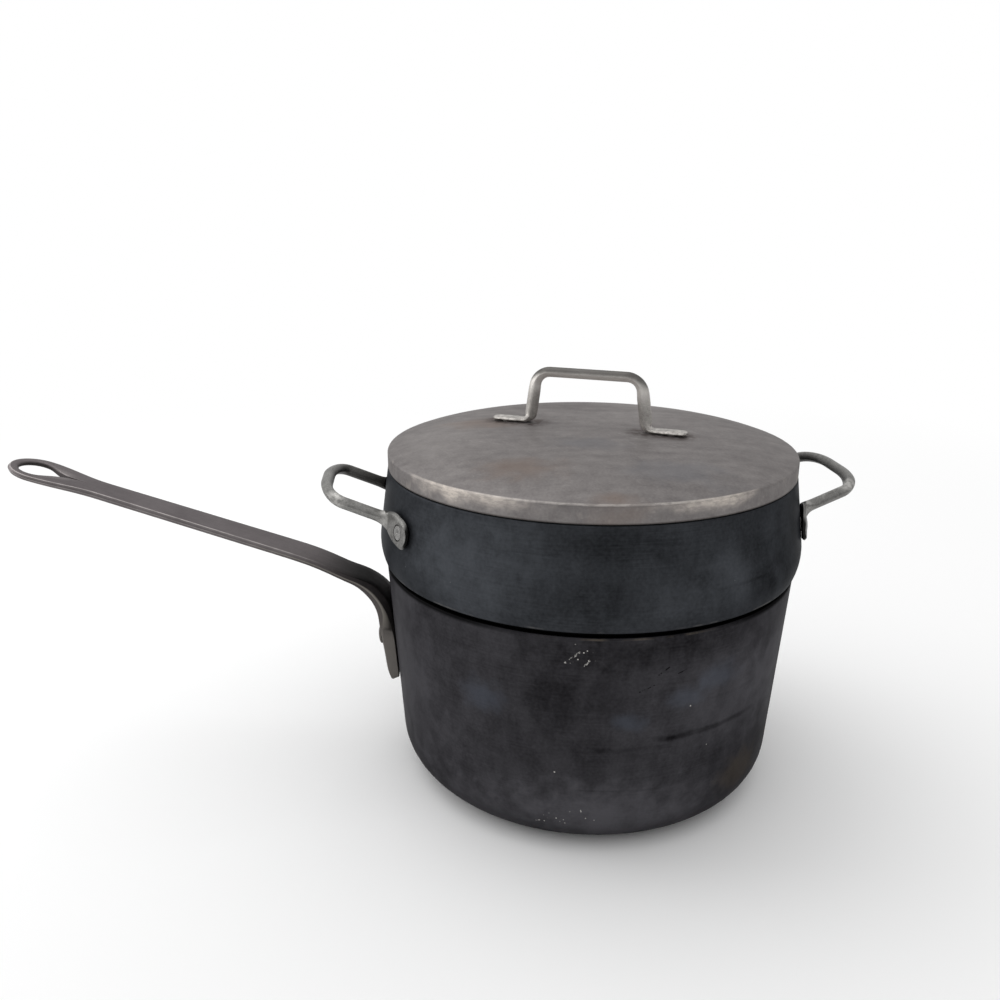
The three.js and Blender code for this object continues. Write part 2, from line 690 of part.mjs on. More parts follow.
function lid() {
  const group = new THREE.Group();
  const { body: bar, rivets } = lidHandle();
  const handleGroup = turnedGroup(lidHandleAzimuth);
  handleGroup.add(piece('lid_handle', bar, barHandleFinish));
  let cover = lidCover();
  rivets.forEach((rivet, i) => {
    handleGroup.add(piece(`lid_handle_rivet_${i + 1}`, rivet.body, rivetFinish));
    cover = cover.subtract(spun(rivet.hole, lidHandleAzimuth));
  });
  group.add(handleGroup);
  group.add(piece('lid_cover', cover, lidFinish));
  return group;
}

const doubleBoiler = new THREE.Group();
doubleBoiler.add(saucepan(), insert(), lid());

export default doubleBoiler;
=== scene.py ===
"""A used double boiler: a saucepan with a strap handle, a bellied insert with two bar handles, and a lid."""
from math import acos, asin, atan2, cos, exp, hypot, pi, radians, sin, sqrt, tan

import bmesh
import bpy
from mathutils import Matrix, Vector
from mathutils.kdtree import KDTree


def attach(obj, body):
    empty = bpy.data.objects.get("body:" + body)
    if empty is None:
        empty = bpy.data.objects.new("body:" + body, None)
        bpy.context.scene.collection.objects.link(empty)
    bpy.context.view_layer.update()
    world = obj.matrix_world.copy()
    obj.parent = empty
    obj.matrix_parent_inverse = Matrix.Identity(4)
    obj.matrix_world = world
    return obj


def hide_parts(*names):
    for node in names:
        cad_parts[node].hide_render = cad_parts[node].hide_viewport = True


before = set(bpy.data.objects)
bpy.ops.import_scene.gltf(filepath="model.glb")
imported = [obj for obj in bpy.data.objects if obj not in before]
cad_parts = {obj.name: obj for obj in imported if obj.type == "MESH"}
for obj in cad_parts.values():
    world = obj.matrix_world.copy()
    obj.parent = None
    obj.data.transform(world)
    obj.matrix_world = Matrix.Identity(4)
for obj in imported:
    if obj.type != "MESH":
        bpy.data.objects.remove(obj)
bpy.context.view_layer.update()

# Sizes in millimetres, the same as the frame's
MM = 0.001
REST_GAP = 0.3

# Saucepan
PAN_RIM = 95.0
PAN_HEIGHT = 103.2
PAN_TAPER = radians(3.68)
PAN_WALL = 3.2
PAN_FLOOR = 4.0
PAN_CORNER = 20.0
PAN_RIM_ROUND = 1.1
BASE_HOLLOW = 0.5
BASE_RING = 56.0
BASE_STEP = 2.0
BASE_STEP_ROUND = 1.5

# Insert
BELLY_OVERHANG = 2.5
BELLY_HEIGHT = 11.4
BELLY_RADIUS = 25.0
MOUTH_DRAW = 4.4
MOUTH_HEIGHT = 44.4
INSERT_WALL = 2.8
INSERT_RIM_ROUND = 0.9
SHOULDER_GAP = 2.1
SHOULDER_ROUND = 0.5
SEAT_RADIUS = 92.8
CUP_CLEARANCE = 1.4
CUP_TAPER = PAN_TAPER + radians(3.5)
CUP_CORNER = 18.0
WATER_SPACE = 32.0
HOLLOW_DEPTH = 8.0

# Lid
LID_INSET = 0.1
LID_BAND = 7.6
LID_CORNER = 0.9
LID_RISE = 8.0
LID_CROWN_POWER = 4.66
LID_WALL = 2.5
LID_EDGE_ROUND = 0.5
LIP_DEPTH = 5.0
LIP_WALL = 2.2
LIP_CLEARANCE = 0.6
LIP_ROUND = 0.5

# Long handle: its bend and its flange on the saucepan
HANDLE_REACH = 272.0
HANDLE_RISE = radians(18.04)
HANDLE_BEND = 25.0
HANDLE_DROP = 14.3
BEND_BULGE = 3.4
BULGE_TO_FLANGE = 26.0
BULGE_TO_STRAP = 11.5
BEND_SAG = 2.5
SAG_REACH = 15.2
FLANGE_LENGTH = 49.6
FLANGE_WIDTH = 28.5
FLANGE_THICKNESS = 5.4
FLANGE_END_ROUND = 9.0
FLANGE_END_SHARE = 0.42
FLANGE_FLAT = 22.3
FLANGE_FLARE = 32.1
FLANGE_TIP = 2.0
SQUARE_FROM = 16.0
SQUARE_RUN = 30.0

# Long handle: its strap, with two facets at each side
STRAP_WAIST = 19.9
STRAP_WIDTH = 16.5
STRAP_THICKNESS = 3.4
STRAP_CROWN = 0.06
STOCK = 9.0
FACET_INSET = 0.8
FACET_NOSE = 0.1
FACET_TOP = 0.93
FACET_SQUARE = 0.83
RIDGE_ROUND = 0.45
RIDGE_LINE = 0.12

# Long handle: its loop and the hanging hole
LOOP_WIDTH = 25.4
LOOP_END = 13.6
LOOP_FLARE = 30.0
LOOP_THICKNESS = 2.7
HANG_HOLE = 7.6
HANG_SETBACK = 12.0
HANG_TIP = 24.0
HOLE_TIP_PULL = 0.68
HOLE_END_PULL = 0.28
HOLE_ROUND = 1.3
HOLE_THINNING = 0.65
TIP_ROUND = 0.5
TIP_THINNING = 0.15
TIP_OPENING = 1.5

# Rivets of the long handle
PAN_RIVET = 2.8
PAN_RIVET_HEAD = 4.7
PAN_RIVET_SINK = 0.6
PAN_RIVET_EDGE = 0.4
PAN_RIVET_DOME = 1.2
PAN_RIVET_INNER = 1.1
PAN_RIVET_FLAT = 0.85
PAN_RIVET_ROUND = 0.5
HEAD_EDGE_ROUND = 0.4
PAN_RIVET_SPACING = 15.0
PAN_RIVET_PAIR_DROP = 41.0
PAN_RIVET_LOW_DROP = 52.0

# Bar handles of the insert
EAR_AZIMUTH = radians(7.0)
EAR_BAR = 5.5
EAR_SPAN = 52.2
EAR_SPLAY = -0.5
EAR_STAND = 22.7
EAR_SLOPE = radians(22.8)
EAR_LEG_ROUND = 9.0
EAR_GRIP_ROUND = 20.0
EAR_LEG_BEND = 4.6
EAR_FOOT_HEIGHT = 27.7
EAR_FOOT_LENGTH = 22.5
EAR_FOOT_WIDTH = 13.0
EAR_FOOT_DROP = 2.4
EAR_FOOT_THICKNESS = 2.5
EAR_FOOT_END = 2.1
EAR_FOOT_FLAT = 11.0
EAR_RIVET = 3.2
EAR_RIVET_INSET = 6.9
EAR_RIVET_GROOVE = 0.4
EAR_RIVET_CROWN = 0.3
# The right one was put on a little askew
EAR_TILT = radians(2.2)
EAR_SETTLE = 1.0
EAR_SHIFT = 0.2

# Bar handle of the lid
LID_BAR_AZIMUTH = radians(-22.1)
LID_BAR = 4.7
LID_BAR_SPAN = 56.0
LID_BAR_TOP_SPAN = 49.4
LID_BAR_HEIGHT = 24.4
LID_BAR_BEND = 6.5
LID_BAR_SHIFT = -1.5
LID_BAR_LEG_BEND = 3.0
LID_LEG = 6.0
LID_FOOT_LENGTH = 18.4
LID_FOOT_WIDTH = 7.8
LID_FOOT_THICKNESS = 1.5
LID_FOOT_END = 1.3
LID_FOOT_FLAT = 9.0
LID_RIVET = 2.6
LID_RIVET_INSET = 7.0
LID_RIVET_GROOVE = 0.06
LID_RIVET_CROWN = 0.06

# Feet beaten flat from a bar
FOOT_END_POWER = 2.6
FOOT_END_LEAST = 0.2
FOOT_SWELL = 2.6
FOOT_EDGE_SHARE = 0.8
FOOT_EDGE_RUN = 0.6
BAR_RIDGE = 1.4

# Flush rivets: heads out of sight, and crowns as shares of the radius and the crown's height
FLUSH_HEAD_OVERHANG = 1.6
FLUSH_HEAD_HEIGHT = 1.2
FLUSH_HEAD_FLAT = 0.75
FLUSH_HEAD_ROUND = 0.6
FLUSH_CROWN_ROUND = 0.05
FLUSH_CROWN_POINTS = ((0.6, 0.7), (0.34, 1), (0.22, 0.9), (0.1, -0.4), (0, -0.6))
DRILL_DEPTH = 12.0

# Fineness
TURN_STEPS = 160
RIVET_STEPS = 32
DOME_STEPS = 9
BELLY_STEPS = 14
HOLLOW_STEPS = 10
CROWN_STEPS = 24
FLANGE_STEPS = 10
STRAP_STEPS = 90
LOOP_STEPS = 14
EAR_FOOT_STEPS = 16
LID_FOOT_STEPS = 14
FOOT_STEP_POWER = 1.6
BEND_STEPS = 10
SWEEP_STEPS = 20
BAR_SIDES = 28
ROUND_STEP = radians(9)
HOLD = 1.2

# How near vertices lie that are merged or picked together, and the angles that count
MATCH = 0.001
MERGE = 0.002
SEAM = 0.01
SLICE = 0.02
LEAST_PRESS = 0.0001
LEAST_TURN = 0.00001
SHELL_CREASE = radians(40)
STRAP_CREASE = radians(42)
BAR_CREASE = radians(35)

# Places that the pieces share
BELLY_Z = PAN_HEIGHT + BELLY_HEIGHT
BELLY_MAX = PAN_RIM + BELLY_OVERHANG
BELLY_CENTRE = BELLY_MAX - BELLY_RADIUS
MOUTH = BELLY_MAX - MOUTH_DRAW
MOUTH_Z = PAN_HEIGHT + MOUTH_HEIGHT
MOUTH_BEARING = atan2(MOUTH_Z - BELLY_Z, MOUTH - BELLY_CENTRE)
BELLY_LEAN = MOUTH_BEARING - acos(BELLY_RADIUS / hypot(MOUTH_Z - BELLY_Z, MOUTH - BELLY_CENTRE))
SHOULDER_Z = PAN_HEIGHT + SHOULDER_GAP
EAR_FOOT_Z = PAN_HEIGHT + EAR_FOOT_HEIGHT
LID_Z = MOUTH_Z + REST_GAP
LID_RADIUS = MOUTH - LID_INSET
BAND_Z = LID_Z + LID_BAND
CROWN_Z = BAND_Z + LID_RISE


def pan_outer(z):
    return PAN_RIM - (PAN_HEIGHT - z) * tan(PAN_TAPER)


def insert_outer(z):
    return MOUTH + (MOUTH_Z - z) * tan(BELLY_LEAN)


def insert_inner(z):
    return insert_outer(z) - INSERT_WALL / cos(BELLY_LEAN)


def crown_at(radius):
    return CROWN_Z - LID_RISE * (radius / LID_RADIUS) ** LID_CROWN_POWER


def dip_across(offset, radius):
    """How far a round wall falls away from its tangent plane"""
    return radius - sqrt(radius ** 2 - offset ** 2)


def between(start, end, share):
    return start + (end - start) * share


def ease(start, end, share):
    share = min(max(share, 0), 1)
    return between(start, end, share * share * (3 - 2 * share))


def shares(steps):
    return [i / steps for i in range(1, steps + 1)]


# Modelling steps that the pieces share
def start_piece(name, add, **sizes):
    bpy.ops.object.select_all(action="DESELECT")
    add(enter_editmode=True, **sizes)
    piece = bpy.context.object
    piece.name = name
    piece.data.name = name
    return piece


def start_vertex(name, place):
    """A piece of one vertex, to be drawn out from"""
    piece = start_piece(name, bpy.ops.mesh.primitive_plane_add, size=MM)
    bpy.ops.mesh.merge(type="CENTER")
    bpy.ops.transform.translate(value=place * MM)
    return piece


def pick(wanted):
    """Selects the vertices whose place, in millimetres, is wanted"""
    data = bpy.context.object.data
    mesh = bmesh.from_edit_mesh(data)
    mesh.select_mode = {"VERT"}
    for vertex in mesh.verts:
        vertex.select_set(bool(wanted(vertex.co / MM)))
    mesh.select_flush_mode()
    bmesh.update_edit_mesh(data)


def draw_vertex(shift):
    bpy.ops.mesh.extrude_vertices_move(TRANSFORM_OT_translate={"value": shift * MM})


def draw_region(shift):
    bpy.ops.mesh.extrude_region_move(TRANSFORM_OT_translate={"value": shift * MM})


def stretch(factors, axes, centre):
    bpy.ops.transform.resize(
        value=factors, orient_type="GLOBAL", orient_matrix=axes, orient_matrix_type="GLOBAL",
        constraint_axis=(True, True, True), center_override=centre * MM)


def turn(angle, axis, centre):
    side = axis.orthogonal().normalized()
    bpy.ops.transform.rotate(
        value=angle, orient_axis="Z", orient_type="GLOBAL", orient_matrix=(side, axis.cross(side), axis),
        orient_matrix_type="GLOBAL", constraint_axis=(False, False, True), center_override=centre * MM)


def close_up():
    bpy.ops.mesh.select_all(action="SELECT")
    bpy.ops.mesh.remove_doubles(threshold=MERGE * MM)
    bpy.ops.mesh.normals_make_consistent(inside=False)


def apply_modifier(piece, kind, **settings):
    modifier = piece.modifiers.new(kind.lower(), kind)
    for key, value in settings.items():
        setattr(modifier, key, value)
    bpy.ops.object.modifier_apply(modifier=modifier.name)


def leave(crease):
    bpy.ops.object.mode_set(mode="OBJECT")
    bpy.ops.object.shade_smooth_by_angle(angle=crease)


def choose(piece):
    bpy.ops.object.select_all(action="DESELECT")
    piece.select_set(True)
    bpy.context.view_layer.objects.active = piece


def placed(piece, place):
    """Moves a piece by a matrix in millimetres, and keeps the place in its mesh"""
    piece.matrix_world = Matrix.Scale(MM, 4) @ place @ Matrix.Scale(1 / MM, 4)
    choose(piece)
    bpy.ops.object.transform_apply(location=True, rotation=True, scale=True)
    return piece


def facing(spot, direction):
    """The matrix that stands something upright at a spot along a direction"""
    return Matrix.Translation(spot) @ direction.to_track_quat("Z", "Y").to_matrix().to_4x4()


def copied(piece, name):
    twin = piece.copy()
    twin.data = piece.data.copy()
    twin.name = name
    twin.data.name = name
    bpy.context.collection.objects.link(twin)
    return twin


# Turned shells
def arc(centre_radius, centre_z, radius, start, end, steps):
    angles = [start + (end - start) * i / steps for i in range(steps + 1)]
    return [(centre_radius + radius * cos(a), centre_z + radius * sin(a)) for a in angles]


def rounded(corners):
    """Corners of radius, height and, where one is given, a rounding"""
    points = []
    for i, corner in enumerate(corners):
        here = Vector(corner[:2])
        if len(corner) == 2:
            points.append(here)
            continue
        back = (Vector(corners[i - 1][:2]) - here).normalized()
        on = (Vector(corners[i + 1][:2]) - here).normalized()
        half = back.angle(on) / 2
        middle = here + (back + on).normalized() * corner[2] / sin(half)
        spoke = here + back * corner[2] / tan(half) - middle
        swing = pi - 2 * half
        steps = max(2, round(swing / ROUND_STEP))
        way = 1 if back.cross(on) < 0 else -1
        for k in range(steps + 1):
            points.append(middle + Matrix.Rotation(way * swing * k / steps, 2) @ spoke)
    # Points near the ends of each straight keep the shading off it
    held = [points[0]]
    for before, after in zip(points, points[1:]):
        length = (after - before).length
        if length > 4 * HOLD:
            held += [before.lerp(after, HOLD / length), after.lerp(before, HOLD / length)]
        held.append(after)
    return held


def turned(name, corners, steps=TURN_STEPS):
    """A vertex is drawn through the outline, which is then spun round the axis"""
    outline = [Vector((max(radius, 0), 0, height)) for radius, height in rounded(corners)]
    piece = start_vertex(name, outline[0])
    for before, after in zip(outline, outline[1:]):
        draw_vertex(after - before)
    bpy.ops.mesh.select_all(action="SELECT")
    bpy.ops.mesh.spin(steps=steps, angle=2 * pi, center=(0, 0, 0), axis=(0, 0, 1))
    close_up()
    leave(SHELL_CREASE)
    return piece


def make_saucepan_shell():
    across_wall = PAN_WALL / cos(PAN_TAPER)
    return turned("saucepan_shell", [
        (0, BASE_HOLLOW),
        (BASE_RING - BASE_STEP, BASE_HOLLOW, BASE_STEP_ROUND),
        (BASE_RING, 0, BASE_STEP_ROUND),
        (pan_outer(0), 0, PAN_CORNER),
        (PAN_RIM, PAN_HEIGHT, PAN_RIM_ROUND),
        (PAN_RIM - across_wall, PAN_HEIGHT, PAN_RIM_ROUND),
        (pan_outer(PAN_FLOOR) - across_wall, PAN_FLOOR, PAN_CORNER - PAN_WALL),
        (0, PAN_FLOOR),
    ])


def make_insert_shell():
    cup_radius = PAN_RIM - PAN_WALL - CUP_CLEARANCE
    seat_z = PAN_HEIGHT + REST_GAP
    shelf_z = seat_z + INSERT_WALL
    cup_bottom = PAN_FLOOR + WATER_SPACE
    cup_floor = cup_bottom + INSERT_WALL

    def cup_at(z):
        return cup_radius - (seat_z - z) * tan(CUP_TAPER)

    def cup_inside(z):
        return cup_at(z) - INSERT_WALL / cos(CUP_TAPER)

    shoulder_angle = asin((SHOULDER_Z - BELLY_Z) / BELLY_RADIUS)
    belly = arc(BELLY_CENTRE, BELLY_Z, BELLY_RADIUS, shoulder_angle, BELLY_LEAN, BELLY_STEPS)
    hollow_width = insert_inner(shelf_z + HOLLOW_DEPTH) - cup_inside(shelf_z)
    hollow = [
        (cup_inside(shelf_z) + hollow_width * x, shelf_z + HOLLOW_DEPTH * (1 + z))
        for x, z in arc(0, 0, 1, 0, -pi / 2, HOLLOW_STEPS)
    ]
    return turned("insert_shell", [
        (0, cup_bottom),
        (cup_at(cup_bottom), cup_bottom, CUP_CORNER),
        (cup_radius, seat_z),
        (SEAT_RADIUS, seat_z),
        (SEAT_RADIUS, SHOULDER_Z),
        (*belly[0], SHOULDER_ROUND),
        *belly[2:],
        (MOUTH, MOUTH_Z, INSERT_RIM_ROUND),
        (insert_inner(MOUTH_Z), MOUTH_Z, INSERT_RIM_ROUND),
        *hollow,
        (cup_inside(cup_floor), cup_floor, CUP_CORNER - INSERT_WALL),
        (0, cup_floor),
    ])


def make_lid_shell():
    lip_outer = insert_inner(MOUTH_Z) - LIP_CLEARANCE
    lip_inner = lip_outer - LIP_WALL
    # The corner's arc leaves the upright band and runs on along the crown's slope
    edge = LID_RADIUS - LID_CORNER
    slope = LID_RISE * LID_CROWN_POWER * (edge / LID_RADIUS) ** (LID_CROWN_POWER - 1) / LID_RADIUS
    bearing = atan2(1, slope)
    corner_radius = LID_CORNER / (1 - cos(bearing))
    corner_z = crown_at(edge) - corner_radius * sin(bearing)
    outward = shares(CROWN_STEPS)
    return turned("lid_shell", [
        (0, CROWN_Z - LID_WALL),
        *[(share * lip_inner, crown_at(share * lip_inner) - LID_WALL) for share in outward],
        (lip_inner, LID_Z - LIP_DEPTH, LIP_ROUND),
        (lip_outer, LID_Z - LIP_DEPTH, LIP_ROUND),
        (lip_outer, LID_Z),
        (LID_RADIUS, LID_Z, LID_EDGE_ROUND),
        *arc(LID_RADIUS - corner_radius, corner_z, corner_radius, 0, bearing, DOME_STEPS),
        *[(share * edge, crown_at(share * edge)) for share in reversed(outward[:-1])],
        (0, CROWN_Z),
    ])


# Long handle: a half sheet drawn in rows, mirrored, then thickened to two facets at its sides
WALL_OUT = Vector((cos(PAN_TAPER), -sin(PAN_TAPER)))
WALL_DOWN = Vector((-sin(PAN_TAPER), -cos(PAN_TAPER)))
STRAP_OUT = Vector((cos(HANDLE_RISE), sin(HANDLE_RISE)))
HANDLE_TURN = acos(-WALL_DOWN.dot(STRAP_OUT))
HANDLE_SETBACK = HANDLE_BEND * tan(HANDLE_TURN / 2)
BEND_Z = PAN_HEIGHT - HANDLE_DROP
BEND_POINT = Vector((pan_outer(BEND_Z), BEND_Z)) + WALL_OUT * REST_GAP
FLANGE_STRAIGHT = FLANGE_LENGTH - HANDLE_SETBACK
BEND_LENGTH = HANDLE_BEND * HANDLE_TURN
STRAP_STRAIGHT = (HANDLE_REACH - BEND_POINT.x) / cos(HANDLE_RISE) - HANDLE_SETBACK
HANDLE_LENGTH = FLANGE_STRAIGHT + BEND_LENGTH + STRAP_STRAIGHT
LOOP_MIDDLE = HANDLE_LENGTH - LOOP_END
HOLE_MIDDLE = HANDLE_LENGTH - HANG_SETBACK
HOLE_TIP = HOLE_MIDDLE - HANG_TIP


def handle_face(travel):
    """Place and outward direction, as distance out and height, on the face that lies on the wall"""
    if travel <= FLANGE_STRAIGHT:
        return BEND_POINT + WALL_DOWN * (FLANGE_LENGTH - travel), WALL_OUT
    turned_by = min((travel - FLANGE_STRAIGHT) / HANDLE_BEND, HANDLE_TURN)
    outward = Matrix.Rotation(turned_by, 2).transposed() @ WALL_OUT
    middle = BEND_POINT + WALL_DOWN * HANDLE_SETBACK + WALL_OUT * HANDLE_BEND
    beyond = max(travel - FLANGE_STRAIGHT - BEND_LENGTH, 0)
    return middle - outward * HANDLE_BEND + STRAP_OUT * beyond, outward


def handle_thickness(travel):
    to_end = HANDLE_LENGTH - travel
    if to_end < LOOP_END + LOOP_FLARE:
        return ease(LOOP_THICKNESS, STRAP_THICKNESS, (to_end - LOOP_END) / LOOP_FLARE)
    past_bend = travel - FLANGE_STRAIGHT - BEND_LENGTH / 2
    fall = BULGE_TO_STRAP if past_bend > 0 else BULGE_TO_FLANGE
    bulge = BEND_BULGE * exp(-(past_bend / fall) ** 2)
    if travel < FLANGE_FLAT:
        rest = 1 - min(travel / FLANGE_END_ROUND, 1)
        return (FLANGE_THICKNESS + bulge) * between(FLANGE_END_SHARE, 1, sqrt(1 - rest * rest))
    return ease(FLANGE_THICKNESS, STRAP_THICKNESS, (travel - FLANGE_FLAT) / FLANGE_FLARE) + bulge


def handle_half_width(travel):
    """The flange runs into a waist, which tapers to the hole's tip, where the loop begins to widen"""
    waist = FLANGE_FLAT + FLANGE_FLARE
    taper = min(max((travel - waist) / (HOLE_TIP - waist), 0), 1)
    narrowing = ease(FLANGE_WIDTH, STRAP_WAIST, (travel - FLANGE_FLAT) / FLANGE_FLARE)
    narrowing += (STRAP_WIDTH - STRAP_WAIST) * taper
    widening = ease(LOOP_WIDTH, STRAP_WIDTH, (LOOP_MIDDLE - travel) / LOOP_FLARE)
    return (narrowing + widening - STRAP_WIDTH) / 2


def hole_side(share):
    """The hole's side leaves its tip along the strap and runs into its round end"""
    start = Vector((HOLE_TIP, 0))
    start_pull = Vector((HOLE_TIP + HANG_TIP * HOLE_TIP_PULL, 0))
    end_pull = Vector((HOLE_MIDDLE - HANG_TIP * HOLE_END_PULL, HANG_HOLE))
    end = Vector((HOLE_MIDDLE, HANG_HOLE))
    left = 1 - share
    pulled = start_pull * left + end_pull * share
    return start * left ** 3 + pulled * 3 * share * left + end * share ** 3


def handle_rows():
    """Pairs of inner and outer points, as travel and half width"""
    rows = []
    for share in shares(FLANGE_STEPS):
        travel = FLANGE_TIP * (1 - cos(pi / 2 * share))
        rows.append(((travel, 0), (travel, FLANGE_WIDTH / 2 * sin(pi / 2 * share))))
    for share in shares(STRAP_STEPS):
        travel = between(FLANGE_TIP, HOLE_TIP, share)
        rows.append(((travel, 0), (travel, handle_half_width(travel))))
    for share in shares(LOOP_STEPS):
        travel = between(HOLE_TIP, LOOP_MIDDLE, share)
        rows.append((tuple(hole_side(share)), (travel, handle_half_width(travel))))
    for share in shares(LOOP_STEPS):
        angle = pi / 2 * (1 - share)
        inner = (HOLE_MIDDLE + HANG_HOLE * cos(angle), HANG_HOLE * sin(angle))
        outer = (LOOP_MIDDLE + LOOP_END * cos(angle), LOOP_WIDTH / 2 * sin(angle))
        rows.append((inner, outer))
    return rows


def handle_spot(travel, across):
    """A point of the half sheet, on the middle of the strap's thickness"""
    point, outward = handle_face(travel)
    into_bend = travel - FLANGE_STRAIGHT
    hug = dip_across(across, pan_outer(point.y)) * ease(1, 0, into_bend / BEND_LENGTH * 2)
    sag = BEND_SAG * exp(-((into_bend - BEND_LENGTH) / SAG_REACH) ** 2)
    point = point + outward * (handle_thickness(travel) / 2 - hug + sag)
    return Vector((-point.x, across, point.y))


def handle_row(inner, outer):
    """Spots across half the strap, each with its share of the stock, its wear and painted highlight, its
    painted shade and smoke stain, and its edge
    """
    length = hypot(outer[0] - inner[0], outer[1] - inner[1])
    square = ease(1, 0, (outer[0] - SQUARE_FROM) / SQUARE_RUN)
    inset = ease(FACET_INSET, FACET_INSET / 2, square) * handle_thickness(outer[0]) / STRAP_THICKNESS
    nose = ease(FACET_NOSE, FACET_SQUARE, square)
    ridge = inset + RIDGE_ROUND
    at_loop = inner[0] >= HOLE_MIDDLE
    opened = 1 if at_loop else min(inner[1] / TIP_OPENING, 1)
    from_tip = 1 if at_loop else ease(0, 1, inner[1] / HANG_HOLE)
    edge_round = between(TIP_ROUND, HOLE_ROUND, from_tip)
    thinning = between(TIP_THINNING, HOLE_THINNING, from_tip)
    tip_wear_and_light = opened * (1 - from_tip)
    plain = length - ridge - edge_round
    # Distances from the hole and, below, from the side, each with its wear and painted highlight
    marks = [
        (0, 0), (edge_round * 0.4, tip_wear_and_light * 0.6), (edge_round, tip_wear_and_light * 0.3),
        (edge_round + plain / 2, 0)]
    side_marks = [
        (ridge, 0), (inset + RIDGE_LINE, 0.8), (inset, 1), (inset * 0.85, 0.25),
        (inset * 0.15, 0), (0, 0.4)]
    marks += [(length - distance, wear) for distance, wear in side_marks]
    row = []
    for along, wear in marks:
        travel = between(inner[0], outer[0], along / length)
        across = between(inner[1], outer[1], along / length)
        from_side = length - along
        if from_side < inset:
            thick = between(nose, FACET_TOP, from_side / inset)
        else:
            thick = 1 - (1 - FACET_TOP) * max(0, 1 - (from_side - inset) / RIDGE_ROUND) ** 2
        near_hole = opened * max(0, 1 - along / edge_round)
        thick *= 1 - thinning * near_hole ** 2
        thick *= 1 - STRAP_CROWN * (along / length) ** 2
        thick *= handle_thickness(travel) / STOCK
        worn = wear * between(1, 0.3, square)
        shade_and_smoke = near_hole * between(0.6, 1, from_tip)
        edge = 1 if along == length else 0
        row.append((handle_spot(travel, across), thick, worn, shade_and_smoke, edge))
    return row


def make_long_handle():
    marked = [handle_row(inner, outer) for inner, outer in handle_rows()]
    rows = [[mark[0] for mark in row] for row in marked]
    piece = start_vertex("long_handle", rows[0][0])
    for before, after in zip(rows[0], rows[0][1:]):
        draw_vertex(after - before)
    for before, after in zip(rows, rows[1:]):
        pick(lambda place: any((place - spot).length < MATCH for spot in before))
        shift = after[0] - before[0]
        draw_region(shift)
        for old, new in zip(before[1:], after[1:]):
            pick(lambda place: (place - old - shift).length < MATCH)
            bpy.ops.transform.translate(value=(new - old - shift) * MM)
    close_up()
    bpy.ops.object.mode_set(mode="OBJECT")
    apply_modifier(piece, "MIRROR", use_axis=(False, True, False), merge_threshold=MERGE * MM)
    # Each vertex of the mirrored sheet takes the marks of the nearest spot
    marks = [mark for row in marked for mark in row]
    finder = KDTree(len(marks))
    for i, mark in enumerate(marks):
        finder.insert(mark[0], i)
    finder.balance()
    places = [vertex.co / MM for vertex in piece.data.vertices]
    found = [marks[finder.find((place.x, abs(place.y), place.z))[1]] for place in places]
    thick = piece.vertex_groups.new(name="thickness")
    for i, mark in enumerate(found):
        thick.add([i], mark[1], "REPLACE")
    for column, name in enumerate(("worn", "hole_shade_and_smoke", "edge"), 2):
        layer = piece.data.attributes.new(name, "FLOAT", "POINT")
        layer.data.foreach_set("value", [mark[column] for mark in found])
    apply_modifier(
        piece, "SOLIDIFY", thickness=STOCK * MM, offset=0, vertex_group="thickness",
        use_quality_normals=True)
    bpy.ops.object.mode_set(mode="EDIT")
    close_up()
    leave(STRAP_CREASE)
    return piece


# Bar handles: a ring is extruded from the foot's end to the middle of the grip, then mirrored
def bend(start, corner, end):
    """Points on the round bend between two legs that are equally far from their corner"""
    back = (start - corner).normalized()
    on = (end - corner).normalized()
    half = back.angle(on) / 2
    middle = corner + (back + on).normalized() * (start - corner).length / cos(half)
    first = (start - middle).normalized()
    last = (end - middle).normalized()
    radius = (start - middle).length
    return [middle + first.slerp(last, share) * radius for share in shares(BEND_STEPS)]


def sweep(start, corner, end):
    """Points on the long round between two legs that leave their corner by unlike lengths"""
    angles = [pi / 2 * share for share in shares(SWEEP_STEPS)]
    return [corner + (start - corner) * (1 - sin(a)) + (end - corner) * (1 - cos(a)) for a in angles]


def toward(start, end, distance):
    return start + (end - start).normalized() * distance


def bar_stations(path, bar, leg, leg_length, leg_bend, length, flat, width, thickness, end):
    """Path: points with width directions. Adds the directions of thickness and length, and half sizes"""
    stations = []
    travel = 0
    for i, (centre, across) in enumerate(path):
        if i:
            travel += (centre - path[i - 1][0]).length
        before = path[max(i - 1, 0)][0]
        after = path[min(i + 1, len(path) - 1)][0]
        along = (after - before).normalized()
        thick = along.cross(across).normalized()
        wide = thick.cross(along).normalized()
        narrowing = (travel - flat) / (length + leg_bend - flat)
        thickening = (travel - length + leg_bend) / (2 * leg_bend)
        rest = 1 - min(travel / (width / 2), 1)
        tip = max((1 - rest ** FOOT_END_POWER) ** (1 / FOOT_END_POWER), FOOT_END_LEAST)
        half_wide = ease(width, bar, narrowing) / 2 * tip
        foot = between(end, thickness, min(travel / flat, 1))
        stem = ease(leg, bar, (travel - length) / max(leg_length, 1) * 2 - 1)
        half_flat = ease(foot, stem, thickening) / 2
        half_thick = min(half_flat * ease(FOOT_SWELL, 1, thickening), stem / 2)
        half_flat *= between(FOOT_EDGE_SHARE, 1, min(travel / FOOT_EDGE_RUN, 1))
        stations.append((centre, (wide, thick, along), half_wide, half_thick, half_flat))
    # The last ring lies in the mirror's plane, so it stands as the one before it does
    stations[-1] = (stations[-1][0], stations[-2][1], *stations[-1][2:])
    return stations


